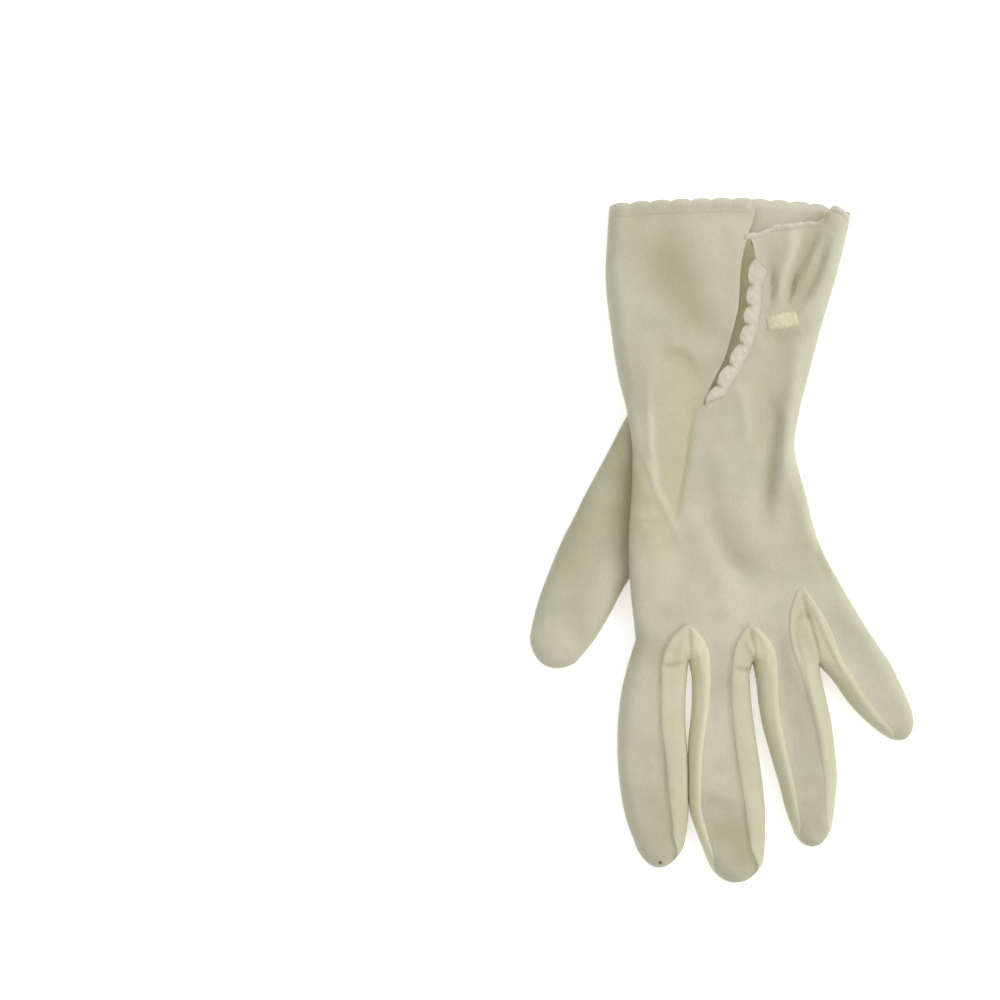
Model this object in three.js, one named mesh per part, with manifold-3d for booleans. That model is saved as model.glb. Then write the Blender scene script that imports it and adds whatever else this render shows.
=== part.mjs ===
// Wrist length dress glove of sheer nylon, lying with the back of the hand up.
// Millimetres. +X is to the right over the hand's back, +Y towards the cuff, +Z up.
// The glove rests on z = 0, and the origin is under the middle of its box.
import * as THREE from 'three';
import { mergeVertices } from 'three/addons/utils/BufferGeometryUtils.js';
import Module from 'manifold-3d';

const wasm = await Module();
wasm.setup();

// Driving sizes of the hand
const cuffWidth = 86;
const handLength = 162;
const clothWall = 1;
const seamGap = 0.3;
const handRise = 10;
const fingerRise = 8.6;
const edgeRound = 7;
const underRound = 3;
const hemArch = 3;

// Driving sizes of the fingers, from the root line to the tip
const indexLength = 77;
const indexWidth = 24.7;
const middleLength = 78.3;
const middleWidth = 25.4;
const ringLength = 65.2;
const ringWidth = 24.2;
const littleLength = 37.1;
const littleWidth = 20.3;

// Driving sizes of the thumb
const thumbLength = 104;
const thumbWidth = 27;
const thumbRise = 6.8;
const thumbTurn = -28.7;
const thumbRamp = 12;
const thumbGap = 0.6;

// Driving sizes of the seams, edgings and the elastic
const fourchetteWidth = 8.8;
const cuffBand = 4.4;
const cuffScallop = 1.3;
const cuffScallops = 12;
const flapDrop = 8.5;
const slitOpening = 2.6;
const slitBand = 4.4;
const slitScallop = 1.7;
const slitScallops = 9;
const elasticLength = 11;
const elasticWidth = 4.6;
const elasticThick = 1;
const elasticTurn = 12;
const elasticRibs = 7;
const foldRise = 1.1;

// How finely each cloth sheet is divided
const columnsPerFinger = 6;
const handRows = 19;
const thumbRows = 9;
const thumbColumns = 8;
const rowCrowding = 0.25;

// Places are shares: across from the middle line in cuff widths, down from the hem in hand lengths.
const place = (across, down) => new THREE.Vector2(across * cuffWidth, -down * handLength);

// Sections of the hand from the hem to the finger roots
const handSections = [
  { down: 0.000, left: -0.499, right: 0.499 },
  { down: 0.055, left: -0.506, right: 0.482 },
  { down: 0.160, left: -0.514, right: 0.433 },
  { down: 0.270, left: -0.493, right: 0.371 },
  { down: 0.370, left: -0.464, right: 0.322 },
  { down: 0.450, left: -0.428, right: 0.284 },
  { down: 0.530, left: -0.407, right: 0.264 },
  { down: 0.630, left: -0.411, right: 0.309 },
  { down: 0.740, left: -0.423, right: 0.367 },
  { down: 0.840, left: -0.415, right: 0.466 },
  { down: 0.948, left: -0.391, right: 0.573 },
];

// Root points between the fingers, where the outline turns from one finger to the next
const rootPoints = [
  { across: -0.391, down: 0.948 },
  { across: -0.172, down: 0.996 },
  { across: 0.091, down: 1.000 },
  { across: 0.367, down: 1.007 },
  { across: 0.573, down: 0.946 },
];

// Finger sections: along in finger lengths, left and right edges in finger widths
const fingers = [
  {
    name: 'index', length: indexLength, width: indexWidth, turn: -0.9,
    sections: [
      { along: 0.10, left: -0.514, right: 0.364 },
      { along: 0.20, left: -0.579, right: 0.350 },
      { along: 0.35, left: -0.619, right: 0.353 },
      { along: 0.50, left: -0.614, right: 0.392 },
      { along: 0.65, left: -0.564, right: 0.400 },
      { along: 0.78, left: -0.476, right: 0.405 },
      { along: 0.89, left: -0.310, right: 0.320 },
      { along: 0.96, left: -0.190, right: 0.200 },
      { along: 1.00, left: -0.060, right: 0.060 },
    ],
  },
  {
    name: 'middle', length: middleLength, width: middleWidth, turn: 4.1,
    sections: [
      { along: 0.08, left: -0.420, right: 0.385 },
      { along: 0.20, left: -0.449, right: 0.386 },
      { along: 0.35, left: -0.510, right: 0.411 },
      { along: 0.50, left: -0.540, right: 0.444 },
      { along: 0.65, left: -0.555, right: 0.450 },
      { along: 0.78, left: -0.480, right: 0.424 },
      { along: 0.89, left: -0.365, right: 0.360 },
      { along: 0.96, left: -0.215, right: 0.235 },
      { along: 1.00, left: -0.060, right: 0.060 },
    ],
  },
  {
    name: 'ring', length: ringLength, width: ringWidth, turn: 8.3,
    sections: [
      { along: 0.08, left: -0.470, right: 0.476 },
      { along: 0.20, left: -0.482, right: 0.507 },
      { along: 0.33, left: -0.467, right: 0.534 },
      { along: 0.50, left: -0.406, right: 0.509 },
      { along: 0.65, left: -0.350, right: 0.475 },
      { along: 0.78, left: -0.314, right: 0.400 },
      { along: 0.89, left: -0.238, right: 0.310 },
      { along: 0.96, left: -0.145, right: 0.200 },
      { along: 1.00, left: -0.050, right: 0.060 },
    ],
  },
  {
    name: 'little', length: littleLength, width: littleWidth, turn: 34.9,
    sections: [
      { along: 0.12, left: -0.485, right: 0.520 },
      { along: 0.24, left: -0.480, right: 0.520 },
      { along: 0.36, left: -0.482, right: 0.510 },
      { along: 0.50, left: -0.459, right: 0.470 },
      { along: 0.65, left: -0.410, right: 0.420 },
      { along: 0.80, left: -0.330, right: 0.360 },
      { along: 0.90, left: -0.235, right: 0.260 },
      { along: 0.96, left: -0.150, right: 0.160 },
      { along: 1.00, left: -0.050, right: 0.050 },
    ],
  },
];

// Thumb sections from the end hidden in the hand to the tip
const thumbRoot = { across: -0.168, down: 0.447 };
const thumbSections = [
  { along: 0.00, left: -0.650, right: 0.400 },
  { along: 0.13, left: -0.685, right: 0.560 },
  { along: 0.24, left: -0.675, right: 0.640 },
  { along: 0.42, left: -0.665, right: 0.655 },
  { along: 0.51, left: -0.640, right: 0.510 },
  { along: 0.60, left: -0.620, right: 0.330 },
  { along: 0.75, left: -0.545, right: 0.304 },
  { along: 0.84, left: -0.480, right: 0.286 },
  { along: 0.94, left: -0.370, right: 0.220 },
  { along: 0.985, left: -0.220, right: 0.100 },
  { along: 1.00, left: -0.100, right: 0.010 },
];

// Line of the thumb seam on the palm: outside it the palm lies on the surface
const thumbSeam = [
  { across: -0.620, down: 0.390 },
  { across: -0.400, down: 0.395 },
  { across: -0.345, down: 0.470 },
  { across: -0.300, down: 0.600 },
  { across: -0.240, down: 0.690 },
  { across: -0.185, down: 0.790 },
  { across: -0.220, down: 0.880 },
  { across: -0.320, down: 0.950 },
  { across: -0.420, down: 0.980 },
  { across: -0.620, down: 0.980 },
];

// Folds pressed into the back: a line, how wide it is in cuff widths, and its height in fold rises
const folds = [
  { from: [-0.29, 0.00], to: [-0.08, 0.30], width: 0.110, height: -0.8 },
  { from: [-0.33, 0.24], to: [-0.11, 0.31], width: 0.050, height: 0.7 },
  { from: [0.17, 0.44], to: [0.16, 0.56], width: 0.035, height: -1.1 },
  { from: [0.16, 0.56], to: [0.12, 0.69], width: 0.035, height: -0.9 },
  { from: [0.05, 0.44], to: [0.06, 0.56], width: 0.050, height: 0.8 },
  { from: [-0.11, 0.63], to: [-0.04, 0.74], width: 0.035, height: -0.8 },
  { from: [-0.04, 0.74], to: [0.12, 0.82], width: 0.035, height: -0.8 },
  { from: [-0.15, 0.68], to: [-0.06, 0.81], width: 0.040, height: 0.7 },
  { from: [0.33, 0.72], to: [0.44, 0.86], width: 0.030, height: -0.5 },
  { from: [0.29, 0.11], to: [0.24, 0.21], width: 0.028, height: -1.5 },
  { from: [0.35, 0.13], to: [0.27, 0.22], width: 0.024, height: -1.2 },
  { from: [0.22, 0.10], to: [0.21, 0.21], width: 0.028, height: 1.2 },
  { from: [0.15, 0.15], to: [0.16, 0.21], width: 0.024, height: -1.0 },
  { from: [0.16, 0.29], to: [0.27, 0.28], width: 0.035, height: -1.1 },
  { from: [0.27, 0.30], to: [0.25, 0.38], width: 0.030, height: 0.9 },
  { from: [-0.20, 0.88], to: [-0.18, 0.99], width: 0.020, height: -0.6 },
  { from: [0.08, 0.88], to: [0.09, 0.99], width: 0.020, height: -0.6 },
];

// Scalloped edge of the slit, from above the hem to its lower end
const slitPath = [
  { across: 0.073, down: -0.040 },
  { across: 0.078, down: 0.060 },
  { across: 0.079, down: 0.120 },
  { across: 0.073, down: 0.192 },
  { across: 0.060, down: 0.244 },
  { across: 0.042, down: 0.285 },
  { across: 0.008, down: 0.327 },
  { across: -0.040, down: 0.362 },
  { across: -0.092, down: 0.402 },
  { across: -0.120, down: 0.434 },
];

// Middle of the elastic on the flap
const elasticPlace = { across: 0.214, down: 0.253 };

// Side strips between two fingers: apex of the pointed top, and the strip's width at the root,
// halfway and near the tip of the finger on each side, in fourchette widths. The bows say how far
// the two sides of the pointed top swell, in cuff widths
const fourchettes = [
  {
    name: 'fourchette_index_middle', left: 'index', right: 'middle',
    apex: { across: -0.176, down: 0.915 }, leftWidths: [0.98, 0.86, 0.60], rightWidths: [0.78, 0.50, 0.34],
    leftBow: -0.010, rightBow: 0.010,
  },
  {
    name: 'fourchette_middle_ring', left: 'middle', right: 'ring',
    apex: { across: 0.083, down: 0.914 }, leftWidths: [0.76, 0.86, 0.62], rightWidths: [0.86, 0.64, 0.42],
    leftBow: -0.010, rightBow: 0.010,
  },
  {
    name: 'fourchette_ring_little', left: 'ring', right: 'little',
    apex: { across: 0.283, down: 0.828 }, leftWidths: [0.74, 0.62, 0.42], rightWidths: [0.90, 0.72, 0.48],
    leftBow: -0.085, rightBow: -0.060,
  },
];
const stripStations = [0.04, 0.5, 0.84];
const stripEnd = 0.93;

// Smooth interpolation in a table of sections
function tableValue(sections, key, column, at) {
  const last = sections.length - 1;
  if (at <= sections[0][key]) return sections[0][column];
  if (at >= sections[last][key]) return sections[last][column];
  let i = 0;
  while (sections[i + 1][key] < at) i += 1;
  const p = (k) => sections[THREE.MathUtils.clamp(k, 0, last)];
  const slope = (k) => (p(k + 1)[column] - p(k - 1)[column]) / (p(k + 1)[key] - p(k - 1)[key]);
  const span = p(i + 1)[key] - p(i)[key];
  const t = (at - p(i)[key]) / span;
  const a = p(i)[column];
  const b = p(i + 1)[column];
  const bend = (t ** 3 - 2 * t ** 2 + t) * slope(i) + (t ** 3 - t ** 2) * slope(i + 1);
  return a + (b - a) * (3 * t ** 2 - 2 * t ** 3) + bend * span;
}

function lineDistance(x, y, a, b) {
  const reach = Math.max(a.distanceToSquared(b), Number.EPSILON);
  const along = ((x - a.x) * (b.x - a.x) + (y - a.y) * (b.y - a.y)) / reach;
  const t = THREE.MathUtils.clamp(along, 0, 1);
  return Math.hypot(x - a.x - t * (b.x - a.x), y - a.y - t * (b.y - a.y));
}

function outlineDistance(x, y, outline) {
  let best = Infinity;
  for (let i = 1; i < outline.length; i += 1) {
    best = Math.min(best, lineDistance(x, y, outline[i - 1], outline[i]));
  }
  return best;
}

function insideOutline(x, y, outline) {
  let inside = false;
  outline.forEach((a, i) => {
    const b = outline[(i + 1) % outline.length];
    if ((a.y > y) !== (b.y > y) && x < a.x + (b.x - a.x) * (y - a.y) / (b.y - a.y)) inside = !inside;
  });
  return inside;
}

const foldLines = folds.map((fold) => ({
  a: place(...fold.from),
  b: place(...fold.to),
  width: fold.width * cuffWidth,
  height: fold.height * foldRise,
}));

function foldHeight(x, y) {
  let height = 0;
  for (const { a, b, width, height: rise } of foldLines) {
    height += rise * Math.exp(-((lineDistance(x, y, a, b) / width) ** 2));
  }
  return height;
}

// The palm is lifted where the thumb lies under it
const seamOutline = thumbSeam.map((point) => place(point.across, point.down));

function palmLift(x, y) {
  if (!insideOutline(x, y, seamOutline)) return 0;
  const depth = outlineDistance(x, y, [...seamOutline, seamOutline[0]]);
  return (thumbRise + seamGap) * THREE.MathUtils.smoothstep(depth, 0, thumbRamp);
}

// Lower and upper height of the cloth at a place, and the height of the fold at the edge
const rimShare = 0.42;
const liftShare = 0.5;

// An inset sheet clears the steepest lift around it, and a grown one the lowest
function liftAround(x, y, inset) {
  const lifts = [palmLift(x, y)];
  if (inset === 0) return lifts[0];
  for (let i = 0; i < 8; i += 1) {
    const turn = Math.PI / 4 * i;
    lifts.push(palmLift(x + inset * Math.cos(turn), y + inset * Math.sin(turn)));
  }
  return inset > 0 ? Math.max(...lifts) : Math.min(...lifts);
}

function handHeights(x, y, inset) {
  const base = liftAround(x, y, inset);
  const down = -y / handLength;
  const rise = THREE.MathUtils.lerp(handRise, fingerRise, THREE.MathUtils.smoothstep(down, 0.85, 1.1));
  const top = rise + palmLift(x, y) * liftShare;
  return { base, top, rim: base + rimShare * (top - base), fold: foldHeight(x, y) };
}

function thumbHeights() {
  return { base: 0, top: thumbRise, rim: rimShare * thumbRise, fold: 0 };
}

// Quarter round from the edge of the cloth to its flat middle
function roundShare(distance, radius) {
  const t = Math.min(distance / radius, 1);
  return Math.sqrt(Math.max(0, 1 - (1 - t) ** 2));
}

function clothPoint(point, upper, heights, outline, inset) {
  const { base, top, rim, fold } = heights(point.x, point.y, inset);
  if (point.rim) return [point.x, point.y, rim];
  const distance = outlineDistance(point.x, point.y, outline);
  const round = roundShare(distance, (upper ? edgeRound : underRound) - inset);
  if (!upper) return [point.x, point.y, rim + (base + inset - rim) * round];
  return [point.x, point.y, rim + (top - inset + fold * round - rim) * round];
}

// Closed solid of the upper and under cloth over a list of grids that share their edges
function clothSolid(grids, outline, heights, inset) {
  const vertices = [];
  const triangles = [];
  const add = (corners) => {
    const first = vertices.length / 3;
    corners.forEach((corner) => vertices.push(...corner));
    triangles.push(first, first + 1, first + 2, first, first + 2, first + 3);
  };
  grids.forEach((grid, gridNumber) => {
    const sheets = [true, false].map((upper) => grid.map((row) => (
      row.map((point) => clothPoint(point, upper, heights, outline, inset)))));
    const [upper, under] = sheets;
    for (let r = 0; r + 1 < grid.length; r += 1) {
      for (let c = 0; c + 1 < grid[r].length; c += 1) {
        add([upper[r][c], upper[r + 1][c], upper[r + 1][c + 1], upper[r][c + 1]]);
        add([under[r][c], under[r][c + 1], under[r + 1][c + 1], under[r + 1][c]]);
      }
    }
    if (gridNumber > 0) return;
    for (let c = 0; c + 1 < grid[0].length; c += 1) {
      add([upper[0][c], upper[0][c + 1], under[0][c + 1], under[0][c]]);
    }
  });
  const geometry = new THREE.BufferGeometry();
  geometry.setAttribute('position', new THREE.Float32BufferAttribute(vertices, 3));
  geometry.setIndex(triangles);
  return toSolid(geometry);
}

function toSolid(source) {
  const geometry = source.clone();
  geometry.deleteAttribute('normal');
  geometry.deleteAttribute('uv');
  const merged = mergeVertices(geometry, 1e-4);
  const index = merged.index.array;
  const keep = [];
  for (let i = 0; i < index.length; i += 3) {
    const [a, b, c] = [index[i], index[i + 1], index[i + 2]];
    if (a !== b && b !== c && c !== a) keep.push(a, b, c);
  }
  return new wasm.Manifold(new wasm.Mesh({
    numProp: 3,
    vertProperties: Float32Array.from(merged.attributes.position.array),
    triVerts: Uint32Array.from(keep),
  }));
}

// Upright prism over an outline, used to cut the cloth along a seam
function prism(outline, low, high) {
  const geometry = new THREE.ExtrudeGeometry(new THREE.Shape(outline), {
    depth: high - low, bevelEnabled: false,
  });
  geometry.translate(0, 0, low);
  return toSolid(geometry);
}

// Hand grid: rows from the hem to the finger roots, columns shared with the fingers
const rootShares = rootPoints.map((point) => (
  (point.across - rootPoints[0].across) / (rootPoints[4].across - rootPoints[0].across)));
const cosine = (j, count) => (1 - Math.cos(Math.PI * j / count)) / 2;

function rootDown(share) {
  let i = 0;
  while (i < 3 && rootShares[i + 1] < share) i += 1;
  const t = (share - rootShares[i]) / (rootShares[i + 1] - rootShares[i]);
  return THREE.MathUtils.lerp(rootPoints[i].down, rootPoints[i + 1].down, t);
}

function hemY(share, reach) {
  return reach - hemArch * (2 * share - 1) ** 2;
}

// The root points of an inset sheet lie further up the hand, clear of the turn between two fingers
const crotchInset = 1.6;

function handPoint(row, share, inset, reach, rim) {
  const rootY = -rootDown(share) * handLength + inset * crotchInset;
  const y = THREE.MathUtils.lerp(hemY(share, reach), rootY, row);
  const down = -y / handLength;
  const left = tableValue(handSections, 'down', 'left', down) * cuffWidth + inset;
  const right = tableValue(handSections, 'down', 'right', down) * cuffWidth - inset;
  const point = new THREE.Vector2(THREE.MathUtils.lerp(left, right, share), y);
  point.rim = rim;
  return point;
}

function fingerAxis(finger) {
  const number = fingers.indexOf(finger);
  const [a, b] = [rootPoints[number], rootPoints[number + 1]].map((p) => place(p.across, p.down));
  const turn = THREE.MathUtils.degToRad(finger.turn);
  return {
    start: a.clone().lerp(b, 0.5),
    along: new THREE.Vector2(Math.sin(turn), -Math.cos(turn)),
    across: new THREE.Vector2(Math.cos(turn), Math.sin(turn)),
  };
}

// Point of a limb: along its axis, and across from its left edge to its right edge
const leastWidth = 0.2;

function limbPoint(axis, limb, sections, along, share, inset) {
  const left = tableValue(sections, 'along', 'left', along) * limb.width + inset;
  const right = tableValue(sections, 'along', 'right', along) * limb.width - inset;
  const narrow = Math.max(right - left, leastWidth);
  const middle = (left + right) / 2;
  const offset = middle + (share - 0.5) * narrow;
  const reach = along * (limb.length - inset);
  return axis.start.clone().addScaledVector(axis.along, reach).addScaledVector(axis.across, offset);
}

// Rows lie closer towards the fingers
const rowPlace = (t) => t * (1 + rowCrowding * (1 - t));

function handGrids(inset, reach) {
  const count = columnsPerFinger * fingers.length;
  const grids = [[]];
  for (let r = 0; r <= handRows; r += 1) {
    const row = rowPlace(r / handRows);
    const points = [];
    for (let c = 0; c <= count; c += 1) {
      const number = Math.min(Math.floor(c / columnsPerFinger), 3);
      const t = cosine(c - number * columnsPerFinger, columnsPerFinger);
      const atRoot = THREE.MathUtils.lerp(rootShares[number], rootShares[number + 1], t);
      const share = THREE.MathUtils.lerp((c / count + cosine(c, count)) / 2, atRoot, row ** 2);
      const crotch = r === handRows && c % columnsPerFinger === 0;
      points.push(handPoint(row, share, inset, reach, c === 0 || c === count || crotch));
    }
    grids[0].push(points);
  }
  fingers.forEach((finger, number) => {
    const axis = fingerAxis(finger);
    const first = number * columnsPerFinger;
    const grid = [grids[0][handRows].slice(first, first + columnsPerFinger + 1)];
    finger.sections.forEach(({ along }) => {
      grid.push(Array.from({ length: columnsPerFinger + 1 }, (_, c) => {
        const share = cosine(c, columnsPerFinger);
        const point = limbPoint(axis, finger, finger.sections, along, share, inset);
        point.rim = c === 0 || c === columnsPerFinger || along === 1;
        return point;
      }));
    });
    grids.push(grid);
  });
  return grids;
}

// Edge of the hand and its fingers, from the hem on the left round to the hem on the right
function handOutline(grids) {
  const left = grids[0].map((row) => row[0]);
  const right = grids[0].map((row) => row[row.length - 1]).reverse();
  const around = grids.slice(1).flatMap((grid) => [
    ...grid.map((row) => row[0]),
    ...grid.map((row) => row[row.length - 1]).reverse(),
  ]);
  return [...left, ...around, ...right];
}

function handSolid(inset, reach) {
  const grids = handGrids(inset, reach);
  return clothSolid(grids, handOutline(grids), handHeights, inset);
}

const outlineOfHand = handOutline(handGrids(0, 0));

// Height of the upper cloth at any place on the hand
function upperHeight(x, y) {
  return clothPoint({ x, y }, true, handHeights, outlineOfHand, 0)[2];
}

function thumbSolid(inset) {
  const turn = THREE.MathUtils.degToRad(thumbTurn);
  const axis = {
    start: place(thumbRoot.across, thumbRoot.down),
    along: new THREE.Vector2(Math.sin(turn), -Math.cos(turn)),
    across: new THREE.Vector2(Math.cos(turn), Math.sin(turn)),
  };
  const limb = { length: thumbLength, width: thumbWidth };
  const grid = [];
  for (let r = 0; r <= thumbRows; r += 1) {
    const along = Math.sin(Math.PI / 2 * r / thumbRows);
    grid.push(Array.from({ length: thumbColumns + 1 }, (_, c) => {
      const share = cosine(c, thumbColumns);
      const point = limbPoint(axis, limb, thumbSections, along, share, inset);
      point.rim = c === 0 || c === thumbColumns || r === thumbRows;
      return point;
    }));
  }
  const left = grid.map((row) => row[0]);
  const right = grid.map((row) => row[thumbColumns]).reverse();
  return clothSolid([grid], [...left, ...right], thumbHeights, inset);
}

// A row of scallops: a flat line with a half round bulge for each one
const scallopSteps = 4;
const scallopWave = (turns) => Math.sqrt(Math.abs(Math.sin(Math.PI * turns)));

// Outline of the hem's scalloped edge or of a line below it, with the flap's drop right of the slit
const flapStart = slitPath[1].across * cuffWidth - slitScallop - slitOpening;
const farOut = 20;
const hemOverreach = 1.02;

function hemLine(below, withScallops, drops) {
  const points = [];
  const count = cuffScallops * scallopSteps;
  for (let i = 0; i <= count; i += 1) {
    const share = i / count;
    const x = (share - 0.5) * cuffWidth * hemOverreach;
    const past = THREE.MathUtils.clamp((x - flapStart) / (cuffWidth / 2 - flapStart), 0, 1);
    const drop = drops && past > 0 ? flapDrop * (1 - past) : 0;
    const wave = withScallops ? cuffScallop * scallopWave(share * cuffScallops) : 0;
    points.push(new THREE.Vector2(x, hemY(share, 0) - cuffScallop - below - drop + wave));
  }
  points[0].x -= farOut;
  points[count].x += farOut;
  return points;
}

function handZone(below, drops) {
  const bottom = -2 * handLength;
  const side = cuffWidth * 2;
  const line = hemLine(below, false, drops);
  line[0].x = -side;
  line[line.length - 1].x = side;
  return [...line, new THREE.Vector2(side, bottom), new THREE.Vector2(-side, bottom)];
}

function hemZone(drops) {
  return [...hemLine(0, true, drops), ...hemLine(cuffBand, false, drops).reverse()];
}

const splitHeight = rimShare * handRise;
const lowest = -1;
const highest = 3 * handRise;
const overlap = 0.05;

// The under sheet keeps the full hem, and the upper sheet drops on the flap
function layered(outline, split) {
  return prism(outline(false), lowest, split).add(prism(outline(true), split - overlap, highest));
}

// Points along the slit, with the direction to the flap's side
function slitLine() {
  const curve = new THREE.SplineCurve(slitPath.map((point) => place(point.across, point.down)));
  const count = slitScallops * scallopSteps;
  return Array.from({ length: count + 1 }, (_, i) => {
    const at = i / count;
    const tangent = curve.getTangentAt(at);
    return { at, point: curve.getPointAt(at), side: new THREE.Vector2(-tangent.y, tangent.x) };
  });
}

const shifted = ({ point, side }, distance) => point.clone().addScaledVector(side, distance);

function slitBandOutline() {
  const line = slitLine();
  const scalloped = line.map((station) => (
    shifted(station, -slitScallop * scallopWave(station.at * slitScallops))));
  const seam = line.map((station) => shifted(station, slitBand));
  return [...scalloped, ...seam.reverse()];
}

function slitHoleOutline() {
  const line = slitLine();
  const plain = line.filter((station, i) => i % scallopSteps === 0).map((station) => (
    shifted(station, -slitScallop - seamGap - slitOpening * Math.sqrt(1 - station.at))));
  const seam = line.map((station) => shifted(station, slitBand + seamGap));
  const end = line[line.length - 1];
  const along = new THREE.Vector2(end.side.y, -end.side.x);
  [plain, seam].forEach((side) => side[side.length - 1].addScaledVector(along, seamGap));
  return [...plain, ...seam.reverse()];
}

// Seam of a side strip along a finger, as far in from the finger's edge as its widths say
function stripSeam(finger, onRight, widths) {
  const axis = fingerAxis(finger);
  const inward = onRight ? -1 : 1;
  const stations = stripStations.map((at, i) => ({ at, width: widths[i] * fourchetteWidth }));
  stations.push({ at: stripEnd, width: -clothWall });
  return stations.map(({ at, width }) => (
    limbPoint(axis, finger, finger.sections, at, onRight ? 1 : 0, 0)
      .addScaledVector(axis.across, inward * width)));
}

const archSteps = 5;
const archBulge = 0.75;

function archSide(shoulder, apex, bow) {
  const height = THREE.MathUtils.lerp(shoulder.y, apex.y, archBulge);
  const control = new THREE.Vector2(shoulder.x + bow * cuffWidth, height);
  return new THREE.QuadraticBezierCurve(shoulder, control, apex).getPoints(archSteps);
}

function fourchetteOutline(strip) {
  const byName = (name) => fingers.find((finger) => finger.name === name);
  const left = stripSeam(byName(strip.left), true, strip.leftWidths);
  const right = stripSeam(byName(strip.right), false, strip.rightWidths);
  const apex = place(strip.apex.across, strip.apex.down);
  return [
    ...left.slice(1).reverse(),
    ...archSide(left[0], apex, strip.leftBow),
    ...archSide(right[0], apex, strip.rightBow).reverse().slice(1),
    ...right.slice(1),
  ];
}

// Closed outline moved inwards all round, but less far at sharp corners
const sharpest = 0.3;

function insetOutline(points, inset) {
  const area = THREE.ShapeUtils.area(points);
  return points.map((point, i) => {
    const before = point.clone().sub(points[(i + points.length - 1) % points.length]).normalize();
    const after = points[(i + 1) % points.length].clone().sub(point).normalize();
    const middle = before.clone().add(after).normalize();
    const inward = new THREE.Vector2(-middle.y, middle.x).multiplyScalar(Math.sign(area));
    return point.clone().addScaledVector(inward, inset / Math.max(middle.dot(after), sharpest));
  });
}

// Short strip of elastic lying on the flap, with a rib for each gather
const ribHeight = 0.35;
const ribSteps = 2;

function elasticSolid(growth) {
  const middle = place(elasticPlace.across, elasticPlace.down);
  const columns = elasticRibs * ribSteps;
  const rows = 3;
  const geometry = new THREE.BoxGeometry(
    elasticLength + 2 * growth, elasticWidth + 2 * growth, elasticThick, columns, rows, 1);
  geometry.rotateZ(THREE.MathUtils.degToRad(elasticTurn));
  geometry.translate(middle.x, middle.y, 0);
  const position = geometry.attributes.position;
  const turn = THREE.MathUtils.degToRad(elasticTurn);
  for (let i = 0; i < position.count; i += 1) {
    const [x, y] = [position.getX(i), position.getY(i)];
    const along = (x - middle.x) * Math.cos(turn) + (y - middle.y) * Math.sin(turn);
    const rib = ribHeight * Math.abs(Math.sin(Math.PI * elasticRibs * along / elasticLength));
    const above = position.getZ(i) > 0 ? elasticThick + rib + growth : -growth;
    position.setZ(i, upperHeight(x, y) + seamGap + above);
  }
  return toSolid(geometry);
}

// Cloth wall of the hand before it is cut along its seams
const pastHem = 8;
const handOuter = handSolid(0, 0);
const handShell = handOuter.subtract(handSolid(clothWall, pastHem));
const slitHole = prism(slitHoleOutline(), splitHeight, highest);
const handSplit = splitHeight - 2 * overlap;
const handCloth = layered((drops) => handZone(cuffBand + seamGap, drops), handSplit);

const thumbHollow = thumbSolid(clothWall);
const thumbShell = thumbSolid(0)
  .subtract(thumbHollow)
  .subtract(handSolid(-thumbGap, 0));

let hand = handShell.intersect(handCloth).subtract(slitHole).subtract(thumbHollow);
hand = hand.subtract(elasticSolid(seamGap));
const hemCloth = layered(hemZone, splitHeight);
const cuffEdging = handShell.intersect(hemCloth).subtract(slitHole);
const slitEdging = handShell
  .intersect(prism(slitBandOutline(), splitHeight, highest))
  .intersect(layered((drops) => handZone(cuffBand, drops), splitHeight).add(hemCloth));

const strips = fourchettes.map((strip) => {
  const outline = fourchetteOutline(strip);
  hand = hand.subtract(prism(outline, lowest, highest));
  return handShell.intersect(prism(insetOutline(outline, seamGap), lowest, highest));
});

// Sheer ivory nylon, yellower where it lies double, whiter on the edgings
function cloth(color) {
  return new THREE.MeshStandardMaterial({ color, roughness: 0.85, metalness: 0 });
}

const group = new THREE.Group();

function addPiece(name, solid, color) {
  const { vertProperties, triVerts } = solid.getMesh();
  const geometry = new THREE.BufferGeometry();
  geometry.setAttribute('position', new THREE.BufferAttribute(Float32Array.from(vertProperties), 3));
  geometry.setIndex(new THREE.BufferAttribute(Uint32Array.from(triVerts), 1));
  geometry.computeVertexNormals();
  const mesh = new THREE.Mesh(geometry, cloth(color));
  mesh.name = name;
  group.add(mesh);
}

addPiece('hand', hand, 0xc3c1ac);
addPiece('thumb', thumbShell, 0xbfbda6);
fourchettes.forEach((strip, i) => addPiece(strip.name, strips[i], 0xc9c6a6));
addPiece('cuff_edging', cuffEdging, 0xd0cebb);
addPiece('slit_edging', slitEdging, 0xd0cebb);
addPiece('elastic_bar', elasticSolid(0), 0xd2cfb4);

// Stand the glove on z = 0 with its box centred on the origin
const box = new THREE.Box3().setFromObject(group);
group.position.set(-(box.min.x + box.max.x) / 2, -(box.min.y + box.max.y) / 2, -box.min.z);

export default group;
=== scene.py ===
import math

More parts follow.
